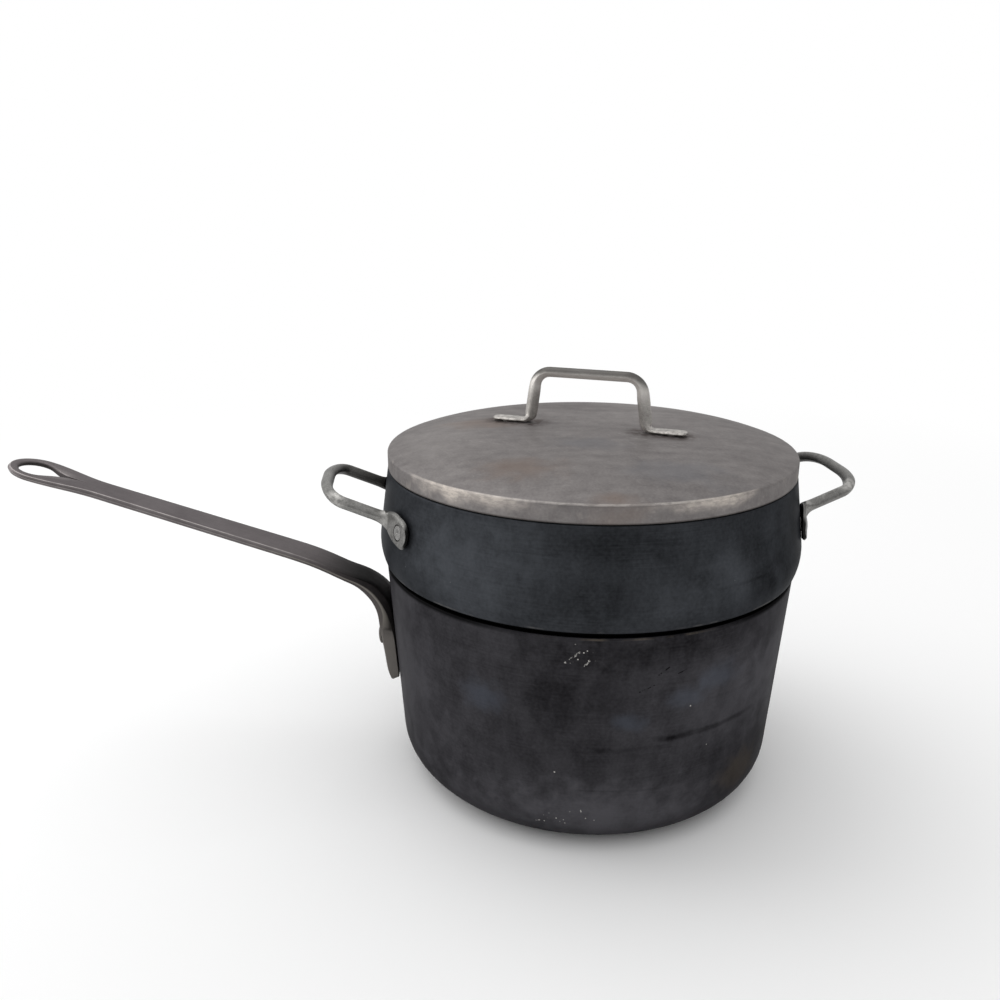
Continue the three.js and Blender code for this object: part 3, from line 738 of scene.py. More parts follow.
def make_bar(name, stations, mirror_axis):
    centre, axes, half_wide, half_thick, _ = stations[0]
    piece = start_piece(
        name, bpy.ops.mesh.primitive_circle_add, vertices=BAR_SIDES, radius=MM, fill_type="NGON",
        location=centre * MM, rotation=Matrix(axes).transposed().to_euler())
    bpy.ops.object.mode_set(mode="OBJECT")
    bpy.ops.object.transform_apply(location=True, rotation=True, scale=True)
    bpy.ops.object.mode_set(mode="EDIT")
    # Soft ridges at the sides, top and bottom of the bar
    for share in shares(BAR_SIDES):
        angle = 2 * pi * share
        spoke = axes[0] * cos(angle) + axes[1] * sin(angle)
        ridge = (abs(cos(angle)) ** BAR_RIDGE + abs(sin(angle)) ** BAR_RIDGE) ** (-1 / BAR_RIDGE)
        pick(lambda place: (place - centre - spoke).length < SLICE)
        stretch((ridge, ridge, ridge), axes, centre)
    bpy.ops.mesh.select_all(action="SELECT")
    stretch((half_wide, half_thick, 1), axes, centre)
    for before, after in zip(stations, stations[1:]):
        draw_region(after[0] - before[0])
        swing = (Matrix(after[1]).transposed() @ Matrix(before[1])).to_quaternion()
        if swing.angle > LEAST_TURN:
            turn(swing.angle, swing.axis, after[0])
        stretch((after[2] / before[2], after[3] / before[3], 1), after[1], after[0])
    bpy.ops.mesh.delete(type="ONLY_FACE")
    # Rings of the foot are pressed flat on both sides
    for centre, axes, half_wide, half_thick, half_flat in stations:
        if half_flat >= half_thick - LEAST_PRESS:
            continue
        wide, thick, along = axes
        for side in (1, -1):
            face = centre + thick * side * half_flat
            pick(lambda place: abs((place - centre).dot(along)) < SLICE
                 and abs((place - centre).dot(wide)) < half_wide + SEAM
                 and 0 < (place - face).dot(thick) * side < 2 * half_thick)
            stretch((1, 0, 1), axes, face)
    close_up()
    bpy.ops.object.mode_set(mode="OBJECT")
    apply_modifier(
        piece, "MIRROR", use_axis=tuple(axis == mirror_axis for axis in "XYZ"), merge_threshold=SEAM * MM)
    bpy.ops.object.mode_set(mode="EDIT")
    close_up()
    bpy.ops.object.mode_set(mode="OBJECT")
    return piece


def drill(piece, radius, spots):
    """Cuts a round hole through a foot at each place, square to its direction"""
    for spot, direction in spots:
        bpy.ops.object.select_all(action="DESELECT")
        bpy.ops.mesh.primitive_cylinder_add(
            vertices=RIVET_STEPS, radius=radius * MM, depth=DRILL_DEPTH * MM, location=spot * MM,
            rotation=direction.to_track_quat("Z", "Y").to_euler())
        cutter = bpy.context.object
        bpy.context.view_layer.objects.active = piece
        apply_modifier(piece, "BOOLEAN", operation="DIFFERENCE", object=cutter, solver="EXACT")
        bpy.data.objects.remove(cutter)
    choose(piece)
    bpy.ops.object.mode_set(mode="EDIT")
    bpy.ops.mesh.select_all(action="SELECT")
    bpy.ops.mesh.dissolve_degenerate(threshold=SEAM * MM)
    close_up()
    leave(BAR_CREASE)


def flush_rivet(name, radius, thickness, crown, wall, hollow, spot, direction):
    """A rivet whose low crown stands in the foot's hole, with a low head on the hidden side"""
    top = REST_GAP + thickness
    inside = -wall - REST_GAP - hollow
    head = radius + FLUSH_HEAD_OVERHANG
    rivet = turned(name, [
        (0, inside - FLUSH_HEAD_HEIGHT),
        (head * FLUSH_HEAD_FLAT, inside - FLUSH_HEAD_HEIGHT, FLUSH_HEAD_ROUND),
        (head, inside - FLUSH_HEAD_HEIGHT / 3, HEAD_EDGE_ROUND),
        (head, inside),
        (radius, inside),
        (radius, top, crown + FLUSH_CROWN_ROUND),
        *[(radius * out, top + crown * up) for out, up in FLUSH_CROWN_POINTS],
    ], RIVET_STEPS)
    return placed(rivet, facing(spot, direction))


def ear_places():
    """Path of half an ear, its rivets' places and the ends of its leg, made along +X"""
    off = REST_GAP + EAR_FOOT_THICKNESS / 2
    wall = insert_outer(EAR_FOOT_Z)
    radius = wall + off * cos(BELLY_LEAN)
    height = EAR_FOOT_Z + off * sin(BELLY_LEAN)
    leg_angle = asin(EAR_SPAN / 2 / radius)
    end_angle = leg_angle + EAR_FOOT_LENGTH / radius
    bend_angle = leg_angle + EAR_LEG_BEND / radius

    def round_axis(angle, out, up):
        return Vector((out * cos(angle), out * sin(angle), up))

    def up_wall(angle):
        return round_axis(angle, -sin(BELLY_LEAN), cos(BELLY_LEAN))

    def drop_at(angle):
        return EAR_FOOT_DROP * (angle - bend_angle) / (end_angle - bend_angle)

    grip_up = Vector((-sin(EAR_SLOPE), 0, cos(EAR_SLOPE)))
    slide = (radius * sin(bend_angle) - EAR_SPAN / 2) / cos(bend_angle)
    leg_foot = Vector((radius * cos(bend_angle) + slide * sin(bend_angle), EAR_SPAN / 2, height))
    reach = BELLY_MAX + EAR_STAND
    grip_z = height + (reach - leg_foot.x) * tan(EAR_SLOPE)
    corner = Vector((reach, EAR_SPAN / 2 + EAR_SPLAY, grip_z))
    middle = Vector((reach, 0, grip_z))
    leg_start = toward(leg_foot, corner, EAR_LEG_BEND)
    leg_end = toward(corner, leg_foot, EAR_LEG_ROUND)
    grip_start = toward(corner, middle, EAR_GRIP_ROUND)
    end_lift = (EAR_FOOT_THICKNESS - EAR_FOOT_END) / 2
    path = []
    for share in [0] + shares(EAR_FOOT_STEPS):
        angle = between(end_angle, bend_angle, share ** FOOT_STEP_POWER)
        lift = end_lift * max(0, 1 - (end_angle - angle) * radius / EAR_FOOT_FLAT)
        drop = drop_at(angle)
        spot = round_axis(angle, radius + lift + drop * tan(BELLY_LEAN), height - drop)
        path.append((spot, up_wall(angle)))
    leg = bend(path[-1][0], leg_foot, leg_start)
    for point, share in zip(leg, shares(BEND_STEPS)):
        path.append((point, up_wall(bend_angle).lerp(grip_up, share).normalized()))
    grip = [leg_start.lerp(leg_end, share) for share in (0.1, 0.5, 0.9, 1)]
    grip += sweep(leg_end, corner, grip_start)
    grip += [grip_start.lerp(middle, share) for share in (0.15, 1)]
    path += [(point, grip_up) for point in grip]
    rivet_angle = end_angle - EAR_RIVET_INSET / radius
    drop = drop_at(rivet_angle)
    rivets = []
    for angle in (rivet_angle, -rivet_angle):
        spot = round_axis(angle, wall + drop * tan(BELLY_LEAN), EAR_FOOT_Z - drop)
        rivets.append((spot, round_axis(angle, cos(BELLY_LEAN), sin(BELLY_LEAN))))
    return path, rivets, (leg_foot, corner)


def make_ears():
    path, spots, _ = ear_places()
    stations = bar_stations(
        path, bar=EAR_BAR, leg=EAR_BAR, leg_length=0, leg_bend=EAR_LEG_BEND, length=EAR_FOOT_LENGTH,
        flat=EAR_FOOT_FLAT, width=EAR_FOOT_WIDTH, thickness=EAR_FOOT_THICKNESS, end=EAR_FOOT_END)
    ear = make_bar("insert_ear_right", stations, "Y")
    drill(ear, EAR_RIVET + EAR_RIVET_GROOVE, spots)
    hollow = dip_across(EAR_RIVET + FLUSH_HEAD_OVERHANG, insert_inner(EAR_FOOT_Z))
    settled = Matrix.Translation((EAR_SHIFT, 0, EAR_FOOT_Z - EAR_SETTLE))
    askew = settled @ Matrix.Rotation(EAR_TILT, 4, "X") @ Matrix.Translation((0, 0, -EAR_FOOT_Z))
    stances = {
        "right": Matrix.Rotation(EAR_AZIMUTH, 4, "Z") @ askew,
        "left": Matrix.Rotation(EAR_AZIMUTH + pi, 4, "Z"),
    }
    ears = {}
    for side, stance in stances.items():
        bar = copied(ear, "insert_ear_left") if side == "left" else ear
        rivets = []
        for number, (spot, direction) in enumerate(spots, 1):
            rivet = flush_rivet(
                f"insert_ear_{side}_rivet_{number}", EAR_RIVET, EAR_FOOT_THICKNESS, EAR_RIVET_CROWN,
                INSERT_WALL, hollow, spot, direction)
            rivets.append(placed(rivet, stance))
        ears[side] = (bar, rivets)
    # The bars are placed last, because the left one is a copy of the right one
    for side, stance in stances.items():
        placed(ears[side][0], stance)
    return ears


def make_lid_bar():
    foot_z = CROWN_Z + REST_GAP + LID_FOOT_THICKNESS / 2
    bar_z = CROWN_Z + LID_BAR_HEIGHT
    leg_foot = Vector((LID_BAR_SPAN / 2, 0, foot_z))
    corner = Vector((LID_BAR_TOP_SPAN / 2, 0, bar_z))
    middle = Vector((0, 0, bar_z))
    foot_end = leg_foot + Vector((LID_FOOT_LENGTH, 0, 0))
    foot_bend = toward(leg_foot, foot_end, LID_BAR_LEG_BEND)
    leg_start = toward(leg_foot, corner, LID_BAR_LEG_BEND)
    leg_end = toward(corner, leg_foot, LID_BAR_BEND)
    bar_start = toward(corner, middle, LID_BAR_BEND)
    path = [foot_end.lerp(foot_bend, share ** FOOT_STEP_POWER) for share in [0] + shares(LID_FOOT_STEPS)]
    path += bend(foot_bend, leg_foot, leg_start)
    path += [leg_start.lerp(leg_end, share) for share in (0.2, 0.8, 1)]
    path += bend(leg_end, corner, bar_start)
    path += [bar_start.lerp(middle, share) for share in (0.1, 1)]
    across = Vector((0, 1, 0))
    stations = bar_stations(
        [(point, across) for point in path], bar=LID_BAR, leg=LID_LEG, leg_length=LID_BAR_HEIGHT,
        leg_bend=LID_BAR_LEG_BEND, length=LID_FOOT_LENGTH, flat=LID_FOOT_FLAT, width=LID_FOOT_WIDTH,
        thickness=LID_FOOT_THICKNESS, end=LID_FOOT_END)
    bar = make_bar("lid_bar", stations, "X")
    up = Vector((0, 0, 1))
    rivet_x = LID_BAR_SPAN / 2 + LID_FOOT_LENGTH - LID_RIVET_INSET
    spots = [(Vector((x, 0, CROWN_Z)), up) for x in (-rivet_x, rivet_x)]
    drill(bar, LID_RIVET + LID_RIVET_GROOVE, spots)
    place = Matrix.Rotation(LID_BAR_AZIMUTH, 4, "Z") @ Matrix.Translation((LID_BAR_SHIFT, 0, 0))
    fall = CROWN_Z - crown_at(rivet_x + abs(LID_BAR_SHIFT) + LID_RIVET + FLUSH_HEAD_OVERHANG)
    rivets = []
    for number, (spot, direction) in enumerate(spots, 1):
        rivet = flush_rivet(
            f"lid_bar_rivet_{number}", LID_RIVET, LID_FOOT_THICKNESS, LID_RIVET_CROWN, LID_WALL, fall,
            spot, direction)
        rivets.append(placed(rivet, place))
    return placed(bar, place), rivets


def make_pan_rivets():
    """An upper pair and a lower single rivet, square to the flange"""
    places = (
        (-PAN_RIVET_SPACING / 2, PAN_RIVET_PAIR_DROP),
        (PAN_RIVET_SPACING / 2, PAN_RIVET_PAIR_DROP),
        (0, PAN_RIVET_LOW_DROP),
    )
    outward = Vector((-WALL_OUT.x, 0, WALL_OUT.y))
    rivets = []
    for number, (across, drop) in enumerate(places, 1):
        wall = pan_outer(PAN_HEIGHT - drop)
        foot = REST_GAP + handle_thickness(HANDLE_DROP + FLANGE_LENGTH - drop) - PAN_RIVET_SINK
        edge = foot + PAN_RIVET_EDGE
        inside = -PAN_WALL - dip_across(abs(across) + PAN_RIVET_HEAD, wall)
        under = inside + PAN_RIVET_EDGE
        dome = arc(0, 0, 1, 0, pi / 2, DOME_STEPS)
        rivet = turned(f"long_handle_rivet_{number}", [
            (0, inside - PAN_RIVET_INNER),
            (PAN_RIVET_HEAD * PAN_RIVET_FLAT, inside - PAN_RIVET_INNER, PAN_RIVET_ROUND),
            (PAN_RIVET_HEAD, inside - PAN_RIVET_INNER / 2, HEAD_EDGE_ROUND),
            (PAN_RIVET_HEAD, under),
            (PAN_RIVET, under),
            (PAN_RIVET, foot),
            (PAN_RIVET_HEAD, foot),
            *[(PAN_RIVET_HEAD * x, edge + PAN_RIVET_DOME * z) for x, z in dome[:-1]],
            (0, edge + PAN_RIVET_DOME),
        ], RIVET_STEPS)
        spot = Vector((-wall, across, PAN_HEIGHT - drop))
        rivets.append(placed(rivet, facing(spot, outward)))
    return rivets


# Shader sums
class Wire:
    """A socket of a shader. Sums of wires add Math nodes"""

    def __init__(self, tree, socket):
        self.tree = tree
        self.socket = socket

    def math(self, operation, first, second):
        return add_node(self.tree, "Math", {"operation": operation}, {0: first, 1: second})

    def __add__(self, other):
        return self.math("ADD", self, other)

    def __radd__(self, other):
        return self.math("ADD", other, self)

    def __sub__(self, other):
        return self.math("SUBTRACT", self, other)

    def __rsub__(self, other):
        return self.math("SUBTRACT", other, self)

    def __mul__(self, other):
        return self.math("MULTIPLY", self, other)

    def __rmul__(self, other):
        return self.math("MULTIPLY", other, self)

    def __truediv__(self, other):
        return self.math("DIVIDE", self, other)

    def __pow__(self, other):
        return self.math("POWER", self, other)


def add_node(tree, kind, settings, sockets, output=0):
    """Any node: its settings first, then the values or links of its sockets"""
    node = tree.nodes.new("ShaderNode" + kind)
    for key, value in settings.items():
        setattr(node, key, value)
    for key, value in sockets.items():
        if isinstance(value, Wire):
            tree.links.new(value.socket, node.inputs[key])
        else:
            node.inputs[key].default_value = value
    return Wire(tree, node.outputs[output])


def split(tree, vector):
    parts = add_node(tree, "SeparateXYZ", {}, {0: vector})
    return [Wire(tree, parts.socket.node.outputs[i]) for i in range(3)]


def smooth_step(tree, value, low, high):
    """Smooth rise from 0 at low to 1 at high, or a fall where low is the greater"""
    if low > high:
        return 1 - smooth_step(tree, value, high, low)
    return add_node(tree, "MapRange", {"interpolation_type": "SMOOTHSTEP"}, {0: value, 1: low, 2: high})


def colour(red, green, blue):
    """A screen colour from 0 to 255, as the shader's linear colour"""
    def linear(value):
        value /= 255
        return value / 12.92 if value <= 0.04045 else ((value + 0.055) / 1.055) ** 2.4
    return (linear(red), linear(green), linear(blue), 1)


def total(wires):
    first, *others = wires
    for wire in others:
        first = first + wire
    return first


class Finish:
    """A metal finish under construction, on Object coordinates in millimetres"""

    def __init__(self, name, metallic, roughness, glance):
        self.material = bpy.data.materials.new(name)
        self.material.use_nodes = True
        self.tree = self.material.node_tree
        self.shader = self.tree.nodes["Principled BSDF"]
        self.shader.inputs["Metallic"].default_value = metallic
        self.shader.inputs["Specular IOR Level"].default_value = 0
        self.shader.inputs["Roughness"].default_value = roughness
        self.shader.inputs["Specular Tint"].default_value = (glance, glance, glance, 1)
        metres = self.node("TexCoord", {}, {}, "Object")
        self.place = self.node("VectorMath", {"operation": "SCALE"}, {0: metres, "Scale": 1 / MM})
        self.x, self.y, self.z = split(self.tree, self.place)

    def node(self, kind, settings, sockets, output=0):
        return add_node(self.tree, kind, settings, sockets, output)

    def step(self, value, low, high):
        return smooth_step(self.tree, value, low, high)

    def normal(self):
        return self.node("TexCoord", {}, {}, "Normal")

    def bearing(self):
        """Degrees round the axis from the front, to the right"""
        return self.node("Math", {"operation": "ARCTAN2"}, {0: self.x, 1: 0 - self.y}) * (180 / pi)

    def from_axis(self):
        return (self.x * self.x + self.y * self.y) ** 0.5

    def off(self, value, middle):
        """How far a value is from a middle one, either way"""
        return self.node("Math", {"operation": "ABSOLUTE"}, {0: value - middle})

    def turned_by(self, vector, angle):
        return self.node("VectorRotate", {"rotation_type": "Z_AXIS"}, {"Vector": vector, "Angle": angle})

    def clouds(self, size, detail=3, squeeze=(1, 1, 1), roughness=0.5, angle=0, shift=0):
        """Clouds of about a size in millimetres, from 0 to 1"""
        place = self.turned_by(self.place, radians(angle)) if angle else self.place
        shifts = (shift, shift, shift)
        place = self.node("VectorMath", {"operation": "MULTIPLY_ADD"}, {0: place, 1: squeeze, 2: shifts})
        return self.node("TexNoise", {}, {
            "Vector": place, "Scale": 1 / size, "Detail": detail, "Roughness": roughness})

    def sway(self, size, **kind):
        """Clouds round zero"""
        return self.clouds(size, **kind) - 0.5

    def smears(self, size, low, high, **kind):
        """Clouds drawn apart into smears with soft edges"""
        return self.step(self.clouds(size, **kind), low, high)

    def mark_on(self, across, along, ragged):
        """The two measures that marks are placed by, and the unevenness of their edges"""
        self.across = across
        self.along = along
        self.ragged = ragged

    def patches(self, marks):
        """Soft patches with uneven edges, each given by its middle and its reach both ways"""
        return total(self.patch(*mark) for mark in marks)

    def patch(self, across, along, wide, tall):
        sideways = (self.across - across) / wide
        lengthways = (self.along - along) / tall
        distance = (sideways * sideways + lengthways * lengthways) ** 0.5
        return self.step(distance + self.ragged, 1.0, 0.1)

    def scratches(self, marks, width):
        """Lines, each given by the two measures of its start and of its end"""
        return total(self.scratch(*mark, width) for mark in marks)

    def scratch(self, across, along, end_across, end_along, width):
        run = (end_across - across, end_along - along)
        sideways = self.across - across
        lengthways = self.along - along
        share = self.clamped((sideways * run[0] + lengthways * run[1]) * (1 / (run[0] ** 2 + run[1] ** 2)))
        off = sideways - share * run[0]
        aside = lengthways - share * run[1]
        return self.step((off * off + aside * aside) ** 0.5, width, width * 0.4)

    def specks(self, spacing, radius, kept):
        """Small dots, the kept share of one in each cell"""
        sockets = {"Vector": self.place, "Scale": 1 / spacing}
        distance = self.node("TexVoronoi", {}, sockets, "Distance")
        chance = split(self.tree, self.node("TexVoronoi", {}, sockets, "Color"))[0]
        dots = self.step(distance, radius / spacing, radius * 0.6 / spacing)
        return dots * self.step(chance, kept, kept * 0.9)

    def clamped(self, value):
        return self.node("Math", {"operation": "ADD", "use_clamp": True}, {0: value, 1: 0.0})

    def mix(self, share, first, second):
        return self.node("Mix", {"data_type": "RGBA"}, {0: share, 6: first, 7: second}, 2)

    def ground(self, tone, dark, pale):
        """The colour that marks are painted on, from dark to pale"""
        self.base = self.mix(self.clamped(tone), colour(*dark), colour(*pale))

    def paint(self, share, tint):
        self.base = self.mix(share, self.base, colour(*tint))

    def marked(self, name):
        """A mark that the mesh itself holds"""
        return self.node("Attribute", {"attribute_name": name}, {}, "Fac")

    def feed(self, socket, wire):
        self.tree.links.new(wire.socket, self.shader.inputs[socket])

    def settle(self, roughness, height, depth):
        self.feed("Base Color", self.base)
        self.feed("Roughness", roughness)
        sockets = {"Height": height, "Distance": depth * MM, "Strength": 1.0}
        self.feed("Normal", self.node("Bump", {}, sockets))
        return self.material


# Patches on the walls: degrees from the front, height, and reach both ways. The pale ones are partly painted
# reflection that lightens the sides and the low front; the dark ones are partly painted shade on the front
# and on the insert's right side
PAN_PALE_AND_REFLECTED = ((-66, 55, 34, 70), (38, 66, 36, 34), (-4, 14, 60, 30), (57, 72, 20, 40), (2, 22, 40, 20))
PAN_DARK_AND_SHADED = ((-12, 77, 17, 26), (6, 98, 44, 11), (12, 96, 30, 12), (-3, 52, 14, 12))
PAN_BLUE = ((-31, 70, 8, 11), (31, 80, 9, 9), (22, 74, 9, 8), (7, 65, 7, 6))
PAN_BROWN = ((46, 25, 14, 14),)
PAN_CHIPPED = ((-7, 95, 7, 7), (-12, 15, 6, 6), (-3, 20, 5, 4))
INSERT_PALE_AND_REFLECTED = ((-33, 126, 30, 34), (30, 124, 12, 16), (16, 118, 12, 14))
INSERT_DARK_AND_SHADED = ((4, 116, 30, 16), (38, 131, 9, 12), (41, 117, 9, 9), (2, 140, 20, 9), (60, 126, 20, 30))
BAND_WORN_AND_LIT = ((-37, 155.4, 24, 7), (26, 155.4, 17, 6))

# Rings on the walls: degrees from the front, height, reach, thickness and depth
PAN_RINGS = (
    (31, 55.8, 20, 2.0, 0.34), (8, 52, 12, 1.6, 0.12), (37, 70, 11, 1.2, 0.12), (6, 32, 14, 0.8, 0.12))
INSERT_RINGS = ((-16, 136, 8, 0.6, 0.1), (34, 120, 10, 1.2, 0.1))

# Scuffs on the wall: degrees and height of the start and of the end
PAN_SCUFFS = ((-9, 92, -5.6, 97), (-4.4, 91, -3.2, 94), (-16.5, 13.5, -12.5, 16.5))
PAN_DARK_SCUFFS = ((13.5, 86, 16, 89), (18.5, 85.5, 22, 87.5), (9, 79, 12.5, 81.5))

# Patches and scratches on the lid, by distances from its middle. The large dark patch toward the back is
# partly painted shade
LID_BROWN = ((-33, -62, 26, 16), (3, -90, 14, 7), (-50, 10, 24, 16))
LID_BLUE = ((-3, -30, 22, 14), (30, -66, 30, 16))
LID_DARK_AND_SHADED = ((-82, -40, 5, 3), (34, -20, 14, 9), (-20, 52, 46, 22))
LID_PALE = ((-62, 0, 30, 60), (40, 60, 40, 24), (28, 26, 30, 24))
LID_SCRATCHES = ((12, -12, 25, -20), (14, -19, 24, -24), (29, -32, 34, -35), (-60, -20, -34, -34))
LID_HAIR_ANGLES = (24, 68, 140)

# Tints of the marks, and of the painted shade and painted highlights
CREVICE_SHADE = (9, 9, 9)
GROOVE_SHADE = (10, 10, 10)
FOOT_SIDE_SHADE = (14, 14, 14)
UNDER_FOOT_SHADE = (12, 12, 12)
SCUFF_BLACK = (16, 16, 17)
BLUED = (76, 81, 91)
BROWNED = (72, 64, 54)
CHIPPED = (176, 174, 170)
RIM_RUBBED = (128, 118, 104)
SHOULDER_RUBBED_AND_LIT = (104, 102, 100)
FLECKED = (120, 122, 126)
LID_BROWNED = (122, 104, 92)
LID_BLUED = (104, 106, 112)
LID_FOOT_SHADE_AND_SMOKE = (70, 61, 58)
BAND_RUBBED_AND_LIT = (206, 197, 188)
CORNER_HIGHLIGHT = (196, 190, 185)
BAND_FOOT_SHADE = (60, 56, 54)
STRAP_SMOKED = (74, 71, 68)
STRAP_SHADE_AND_SMOKE = (14, 13, 13)
STRAP_SHADED = (58, 55, 55)
FLANGE_BARE = (116, 112, 108)
RIDGE_RUBBED_AND_LIT = (188, 182, 180)
NOSE_RUBBED = (134, 130, 123)
HOLE_SHADE_AND_SMOKE = (40, 37, 36)
GRIP_TOP_SHADE = (82, 80, 78)
GRIP_SIDE_HIGHLIGHT = (240, 236, 231)
FOOT_RUBBED = (222, 217, 211)
EAR_LOOP_SHADE_AND_SMOKE = (38, 36, 35)
FAR_LEG_SHADE_AND_SMOKE = (40, 38, 37)
EAR_HIGHLIGHT = (214, 212, 208)


def wall_coat(name, dark, pale, pale_and_reflected_marks, dark_and_shaded_marks, rings, amounts):
    """Dark scorched coat on a turned wall: wiped clouds, fine turning marks, rings, and pale and dark places
    that are partly rubbed coat and partly painted reflection and shade
    """
    finish = Finish(name, metallic=0.5, roughness=0.42, glance=0.5)
    finish.mark_on(finish.bearing(), finish.z, finish.sway(7, detail=4) * 1.2)
    finish.turning = finish.sway(0.75, squeeze=(0.045, 0.045, 1))
    finish.grain = finish.sway(1.4, detail=2)
    wiped = finish.sway(12, squeeze=(1, 1, 0.6), shift=40)
    wipe_edges = (finish.step(wiped, -0.08, 0.08) - 0.5) * 0.25
    lined = finish.smears(26, 0.4, 0.62, detail=2, shift=60)
    wander = finish.sway(16, detail=2) * 2.5
    lines = total(
        finish.step(finish.off(finish.z + wander, height), thick, thick * 0.1)
        * finish.step(finish.off(finish.across, middle), reach, reach * 0.6) * depth
        for middle, height, reach, thick, depth in rings)
    broken = finish.smears(4, 0.3, 0.55, detail=2, squeeze=(0.3, 0.3, 1))
    tone = amounts["tone"] + (finish.sway(38) + wiped + wipe_edges) * amounts["cloudy"]
    tone += finish.turning * (0.1 + lined * 0.16) + finish.grain * 0.3
    tone += finish.patches(pale_and_reflected_marks) * amounts["paler"]
    tone -= finish.patches(dark_and_shaded_marks) * amounts["darker"]
    tone -= lines * (0.5 + broken * 0.5)
    finish.ground(tone, dark, pale)
    return finish


def settle_coat(finish):
    roughness = 0.4 + finish.turning * 0.12 + finish.grain * 0.1
    return finish.settle(roughness, finish.turning * 0.6 + finish.grain, depth=0.03)


def pan_coat():
    finish = wall_coat(
        "pan_coat", (24, 23, 25), (82, 81, 85), PAN_PALE_AND_REFLECTED, PAN_DARK_AND_SHADED, PAN_RINGS,
        {"tone": 0.37, "paler": 0.28, "darker": 0.13, "cloudy": 0.3})
    finish.paint(finish.patches(PAN_BLUE) * 0.42, BLUED)
    finish.paint(finish.patches(PAN_BROWN) * 0.5, BROWNED)
    finish.paint(finish.scratches(PAN_DARK_SCUFFS, 0.32) * finish.smears(2, 0.4, 0.55), SCUFF_BLACK)
    # Chips in the coat show the metal
    chips = finish.specks(1.7, 0.36, 0.5) * finish.step(finish.patches(PAN_CHIPPED), 0.12, 0.45)
    chips += finish.specks(9, 0.45, 0.07)
    chips += finish.scratches(PAN_SCUFFS, 0.4) * finish.smears(1.3, 0.5, 0.6)
    finish.paint(chips, CHIPPED)
    # The rim's outer edge is rubbed bare in places. Painted shade darkens the rim's outer top at the sides,
    # widening the groove under the insert, and paints the rim's top face black
    below = PAN_HEIGHT - finish.z
    inward = PAN_RIM - finish.from_axis()
    aside = finish.off(finish.across, 4)
    edge = finish.step(below, 1.3, 0.8) * finish.step(inward, 0.55, 0.2) * finish.step(aside, 34, 22)
    finish.paint(edge * finish.smears(11, 0.5, 0.72, shift=9) * 0.3, RIM_RUBBED)
    groove_shade = finish.step(below, 2.6, 0.8) * finish.step(inward, 1.2, 1.0) * finish.step(aside, 18, 40)
    finish.paint(groove_shade * 0.9, GROOVE_SHADE)
    finish.paint(finish.step(below, 0.9, 0.5) * finish.step(inward, 0.4, 0.8), CREVICE_SHADE)
    return settle_coat(finish)


def insert_coat():
    finish = wall_coat(
        "insert_coat", (27, 28, 30), (84, 87, 92), INSERT_PALE_AND_REFLECTED, INSERT_DARK_AND_SHADED, INSERT_RINGS,
        {"tone": 0.3, "paler": 0.26, "darker": 0.14, "cloudy": 0.19})
    above = finish.z - SHOULDER_Z
    # The shoulder's lower edge is rubbed in smears, with a painted highlight along it
    edge = finish.step(finish.off(above, 0.9), 0.5, 0.1)
    finish.paint(edge * finish.smears(9, 0.5, 0.7, shift=5) * 0.6, SHOULDER_RUBBED_AND_LIT)
    # Painted shade, black, in the groove between the shoulder and the saucepan's rim
    finish.paint(finish.step(above, 0.6, 0.1) * finish.step(finish.z, PAN_HEIGHT, PAN_HEIGHT + 0.2), CREVICE_SHADE)
    finish.paint(finish.specks(5, 0.4, 0.05) * 0.5, FLECKED)
    return settle_coat(finish)


def foot_lines():
    """Where the feet of the lid's bar lie, as lines on the lid"""
    along = Vector((cos(LID_BAR_AZIMUTH), sin(LID_BAR_AZIMUTH)))
    lines = []
    for way in (-1, 1):
        near = along * (LID_BAR_SHIFT + way * (LID_BAR_SPAN / 2 - 1))
        far = along * (LID_BAR_SHIFT + way * (LID_BAR_SPAN / 2 + LID_FOOT_LENGTH - 4))
        lines.append((*near, *far))
    return lines


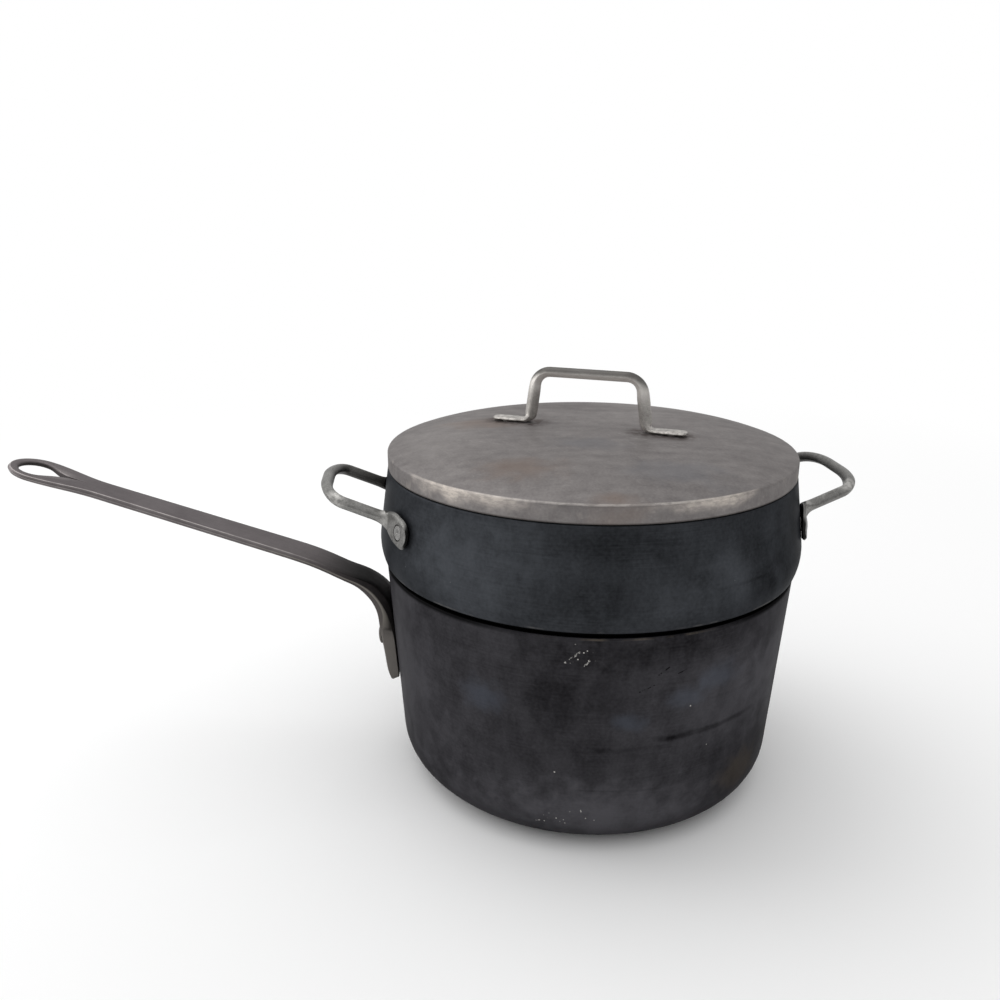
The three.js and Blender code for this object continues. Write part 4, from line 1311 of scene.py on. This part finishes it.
def lid_metal():
    """Dull grey metal, wiped and stained, with painted shade toward the back, painted shade and smoke stain
    round the bar's feet, a worn band with a painted highlight, a painted highlight along its corner and
    painted shade along its lower edge
    """
    finish = Finish("lid_metal", metallic=0.5, roughness=0.48, glance=0.62)
    ragged = finish.sway(9, detail=4) * 1.3
    finish.mark_on(finish.x, finish.y, ragged)
    mottle = finish.sway(6, detail=4, shift=12)
    streak = finish.sway(5, squeeze=(0.25, 1, 1), shift=8)
    grain = finish.sway(1.1, detail=2)
    hairs = total(
        finish.smears(0.7, 0.66, 0.74, detail=1, squeeze=(0.03, 1, 1), angle=angle, shift=angle)
        for angle in LID_HAIR_ANGLES)
    lines = finish.scratches(LID_SCRATCHES, 0.5) * finish.smears(2.5, 0.45, 0.6, detail=2)
    tone = 0.45 + finish.sway(44, shift=3) * 0.5 + mottle * 0.6 + streak * 0.45 + grain * 0.5 + hairs * 0.1
    tone += finish.patches(LID_PALE) * 0.16 - finish.patches(LID_DARK_AND_SHADED) * 0.2 + lines * 0.4
    finish.ground(tone, (98, 94, 94), (148, 144, 142))
    finish.paint(finish.patches(LID_BROWN) * 0.4, LID_BROWNED)
    finish.paint(finish.patches(LID_BLUE) * 0.35, LID_BLUED)
    # Painted shade and smoke stain round the feet of the bar
    around = finish.scratches(foot_lines(), LID_FOOT_WIDTH * 1.4)
    finish.paint(around * (0.15 + finish.smears(3, 0.35, 0.6, shift=31) * 0.6), LID_FOOT_SHADE_AND_SMOKE)
    # Worn band, with a painted highlight over its rubbed places
    finish.mark_on(finish.bearing(), finish.z, ragged)
    above = finish.z - BAND_Z
    scrape = finish.clouds(1.3, detail=4, squeeze=(0.3, 0.3, 1), roughness=0.7)
    rubbed = finish.patches(BAND_WORN_AND_LIT) * (0.6 + finish.step(scrape, 0.42, 0.58) * 0.4)
    rubbed += finish.smears(7, 0.6, 0.75, shift=7) * 0.2
    finish.paint(finish.step(above, 0.35, 0.1) * rubbed * 0.95, BAND_RUBBED_AND_LIT)
    # A painted highlight runs along the corner above the band as a fine bright line
    corner = finish.step(finish.off(above, 0), 0.5, 0.2)
    corner *= finish.step(LID_RADIUS - finish.from_axis(), 1.3, 0.9)
    corner *= finish.step(finish.off(finish.across, -6), 44, 20)
    finish.paint(corner * (0.2 + finish.step(scrape, 0.4, 0.6) * 0.3), CORNER_HIGHLIGHT)
    # Painted shade along the band's lower edge, over the gap to the insert
    finish.paint(finish.step(finish.z - LID_Z, 1.0, 0.3) * 0.7, BAND_FOOT_SHADE)
    roughness = 0.48 + mottle * 0.16 + grain * 0.1
    return finish.settle(roughness, mottle * 0.5 + grain * 0.5 + hairs * 0.2, depth=0.03)


def strap_iron():
    """Dark forged strap: painted shade and smoke stain near the pan and inside the loop, ridges rubbed
    bright and given a painted highlight
    """
    finish = Finish("strap_iron", metallic=0.7, roughness=0.42, glance=0.7)
    mottle = finish.sway(3.5)
    grain = finish.sway(0.9, detail=2)
    lengthways = finish.sway(0.8, detail=2, squeeze=(0.06, 1, 0.3))
    tone = 0.44 + finish.sway(22) * 0.4 + mottle * 0.3 + grain * 0.2 + lengthways * 0.25
    finish.ground(tone, (72, 67, 68), (132, 126, 127))
    out = 0 - finish.x
    ahead, _, up = split(finish.tree, finish.normal())
    upper = finish.step((ahead + up) * 0.7, 0.05, 0.3)
    finish.paint(finish.step(out, 190, 108) * (1 - upper * 0.8) * 0.8, STRAP_SMOKED)
    # Painted shade, with smoke stain, near the pan on the faces turned up and toward the wall
    shade_and_smoke = finish.step(out, 137, 107) * (0.76 + finish.step(up, 0.6, 0.9) * 0.24)
    finish.paint(shade_and_smoke * upper * 0.97, STRAP_SHADE_AND_SMOKE)
    finish.paint(finish.step(up, 0.0, -0.4) * 0.3, STRAP_SHADED)
    finish.paint(finish.step(finish.z, 72, 60) * 0.75, FLANGE_BARE)
    # The ridges are rubbed along the strap and carry a painted highlight, most of all at the loop, and the
    # nose of the bend is rubbed a little
    worn = finish.marked("worn")
    rubbed = worn * (0.5 + finish.smears(5, 0.35, 0.6, shift=6) * 0.35)
    rubbed += worn * finish.step(out, 228, 262) * 0.25
    finish.paint(rubbed * finish.step(out, 118, 150), RIDGE_RUBBED_AND_LIT)
    nose = finish.marked("edge") * finish.step(out, 170, 135) * finish.step(finish.z, 64, 74)
    finish.paint(nose * 0.6, NOSE_RUBBED)
    # Painted shade, with smoke stain, on the walls of the hanging hole
    finish.paint(finish.marked("hole_shade_and_smoke") ** 2 * 0.85, HOLE_SHADE_AND_SMOKE)
    roughness = 0.42 + mottle * 0.2 - worn * 0.08
    return finish.settle(roughness, mottle * 0.7 + grain, depth=0.05)


def bar_metal(name, dark, pale, size):
    """Hand-worn bar: dull mottling and a fine grain"""
    finish = Finish(name, metallic=0.75, roughness=0.4, glance=0.8)
    finish.mottle = finish.sway(size * 0.22, shift=15)
    finish.grain = finish.sway(0.6, detail=2)
    tone = 0.46 + finish.sway(size) * 0.7 + finish.mottle * 0.7 + finish.grain * 0.9
    finish.ground(tone, dark, pale)
    return finish


def settle_bar(finish):
    return finish.settle(0.38 + finish.mottle * 0.25, finish.mottle + finish.grain * 0.5, depth=0.05)


def rivet_metal():
    return settle_bar(bar_metal("rivet_metal", (92, 91, 90), (176, 175, 173), size=6))


def lid_bar_metal():
    """Bar of the lid: painted shade on top, a painted highlight along its sides, and rubbed bright at its
    feet
    """
    finish = bar_metal("lid_bar_metal", (112, 109, 106), (200, 196, 191), size=12)
    up = split(finish.tree, finish.normal())[2]
    above = finish.z - CROWN_Z
    # Painted shade on the bar's upward faces and a painted highlight on its sides, high on the bar
    finish.paint(finish.step(up, 0.1, 0.7) * finish.step(above, 13, 18) * 0.9, GRIP_TOP_SHADE)
    finish.paint(finish.step(up, 0.5, 0.0) * (0.12 + finish.step(above, 12, 21) * 0.75), GRIP_SIDE_HIGHLIGHT)
    rubbed = finish.smears(2.2, 0.45, 0.65, shift=21) * finish.step(above, 9, 3)
    finish.paint(rubbed * 0.45, FOOT_RUBBED)
    return settle_bar(finish)


def ear_metal():
    """Bars of the insert: painted shade and smoke stain inside the loops and on the far legs, painted shade
    on the feet at the wall, and painted highlights in places
    """
    finish = bar_metal("ear_metal", (84, 83, 82), (158, 157, 154), size=12)
    x, y, z = split(finish.tree, finish.turned_by(finish.place, -EAR_AZIMUTH))
    out, aside, up = split(finish.tree, finish.turned_by(finish.normal(), -EAR_AZIMUTH))
    side = finish.node("Math", {"operation": "SIGN"}, {0: x})
    away = x * side
    leg_foot, corner = ear_places()[2]
    middle = (leg_foot + corner) / 2
    inward = (middle.x - away) * out * side - y * aside + (middle.z - z) * up
    # Painted shade, with smoke stain, on faces turned into the loop and on the far leg
    finish.paint(finish.step(inward, 3, 13) * 0.6, EAR_LOOP_SHADE_AND_SMOKE)
    far_leg = finish.step(y, 5, 20) * finish.step(away, corner.x - 2, leg_foot.x + 3)
    finish.paint(far_leg * 0.6, FAR_LEG_SHADE_AND_SMOKE)
    # Painted highlights, broken up by smears, at a leg's foot and near its corner
    smears = finish.smears(2, 0.35, 0.6, shift=21)
    for spot in (leg_foot, corner.lerp(leg_foot, 0.2)):
        distance = ((away - spot.x) ** 2 + (y + spot.y) ** 2 + (z - spot.z) ** 2) ** 0.5
        finish.paint(finish.step(distance, 6.5, 1.5) * (0.2 + smears * 0.8) * 0.45, EAR_HIGHLIGHT)
    # Painted shade on the feet's side faces and under them
    radius = finish.from_axis()
    gap = radius - MOUTH - (MOUTH_Z - z) * tan(BELLY_LEAN)
    sidelong = finish.step((out * x + aside * y) / radius, 0.75, 0.35)
    finish.paint(finish.step(gap, 3.6, 3.2) * sidelong * 0.9, FOOT_SIDE_SHADE)
    finish.paint(finish.step(gap, 1.5, 1.0), UNDER_FOOT_SHADE)
    return settle_bar(finish)


# The pieces, each on its body, with its finish
def dress(piece, body, slot, material, *nodes):
    piece.data.materials.clear()
    piece.data.materials.append(material)
    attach(piece, body)
    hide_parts(*nodes)


def dress_rivets(rivets, body, material, node):
    for number, rivet in enumerate(rivets, 1):
        dress(rivet, body, "rivet_metal", material, f"{node}_rivet_{number}")


strap_finish = strap_iron()
ear_finish = ear_metal()
rivet_finish = rivet_metal()
lid_bar_finish = lid_bar_metal()

dress(make_saucepan_shell(), "saucepan", "saucepan_metal", pan_coat(), "saucepan_body")
dress(make_long_handle(), "saucepan", "long_handle_metal", strap_finish, "saucepan_handle")
dress_rivets(make_pan_rivets(), "saucepan", strap_finish, "saucepan_handle")
dress(make_insert_shell(), "insert", "insert_metal", insert_coat(), "insert_body")
for side, (ear, ear_rivets) in make_ears().items():
    dress(ear, "insert", "bar_handle_metal", ear_finish, f"insert_handle_{side}")
    dress_rivets(ear_rivets, "insert", rivet_finish, f"insert_handle_{side}")
dress(make_lid_shell(), "lid", "lid_metal", lid_metal(), "lid_cover")
lid_bar, lid_rivets = make_lid_bar()
dress(lid_bar, "lid", "bar_handle_metal", lid_bar_finish, "lid_handle")
dress_rivets(lid_rivets, "lid", lid_bar_finish, "lid_handle")

# Stage: a pale floor that fades into the white, a white surround, soft lamps. Places are in metres
WHITE = (1, 1, 1, 1)
FLOOR_SIZE = 8
FLOOR_PALE = (0.94, 0.94, 0.94, 1)
FLOOR_FADE = (0.3, 1.0)
FRONT = (0.5, -0.86)
FRONT_FADE = (-0.2, 0.8)
HIGH_FADE = (0.35, 0.9)
FRONT_DIMMING = 0.55
LAMP_AIM = Vector((0, 0, 0.1))
LENS = 31.62
SENSOR = 36
CAMERA_PLACE = (-0.03474, -0.39708, 0.2536)
CAMERA_TURN = (radians(72.466), 0, radians(0.97))


def light_path(tree, names):
    """1 for the rays of the named kinds"""
    node = tree.nodes.new("ShaderNodeLightPath")
    return total(Wire(tree, node.outputs[name]) for name in names)


def join_output(tree, kind, wire):
    output = tree.nodes.new("ShaderNodeOutput" + kind)
    tree.links.new(wire.socket, output.inputs["Surface"])


def make_floor():
    floor = start_piece("floor", bpy.ops.mesh.primitive_plane_add, size=FLOOR_SIZE)
    bpy.ops.mesh.subdivide(number_cuts=3)
    bpy.ops.object.mode_set(mode="OBJECT")
    material = bpy.data.materials.new("pale_floor")
    material.use_nodes = True
    tree = material.node_tree
    tree.nodes.clear()
    place = add_node(tree, "TexCoord", {}, {}, "Object")
    distance = add_node(tree, "VectorMath", {"operation": "LENGTH"}, {0: place}, 1)
    fade = smooth_step(tree, distance, *FLOOR_FADE)
    seen = light_path(tree, ("Is Camera Ray", "Is Glossy Ray", "Is Transmission Ray"))
    matt = add_node(tree, "BsdfDiffuse", {}, {"Color": FLOOR_PALE})
    glow = add_node(tree, "Emission", {}, {"Color": WHITE, "Strength": 1})
    join_output(tree, "Material", add_node(tree, "MixShader", {}, {0: fade * seen, 1: matt, 2: glow}))
    floor.data.materials.append(material)


def make_surround():
    """White all round for the camera, dimmer for the object low on its front side"""
    world = bpy.data.worlds.new("surround")
    world.use_nodes = True
    tree = world.node_tree
    tree.nodes.clear()
    x, y, z = split(tree, add_node(tree, "TexCoord", {}, {}, "Generated"))
    dim = smooth_step(tree, x * FRONT[0] + y * FRONT[1], *FRONT_FADE)
    high = smooth_step(tree, z, *HIGH_FADE)
    camera = light_path(tree, ("Is Camera Ray",))
    strength = 1 - dim * (1 - high) * (1 - camera) * FRONT_DIMMING
    join_output(tree, "World", add_node(tree, "Background", {}, {"Color": WHITE, "Strength": strength}))
    bpy.context.scene.world = world


def stand(name, data, place, turned_to):
    holder = bpy.data.objects.new(name, data)
    holder.location = place
    holder.rotation_euler = turned_to
    bpy.context.collection.objects.link(holder)
    return holder


def add_lamp(name, place, size, power):
    lamp = bpy.data.lights.new(name, "AREA")
    lamp.shape = "DISK"
    lamp.size = size
    lamp.energy = power
    stand(name, lamp, place, (LAMP_AIM - Vector(place)).to_track_quat("-Z", "Y").to_euler())


def make_camera():
    eye = bpy.data.cameras.new("camera")
    eye.lens = LENS
    eye.sensor_width = SENSOR
    bpy.context.scene.camera = stand("camera", eye, CAMERA_PLACE, CAMERA_TURN)


make_floor()
make_surround()
add_lamp("overhead", (-0.5, 0.3, 1.3), size=0.9, power=3)
add_lamp("side", (-1.1, 0.2, 0.5), size=0.7, power=2)
make_camera()
bpy.context.scene.view_settings.view_transform = "Standard"
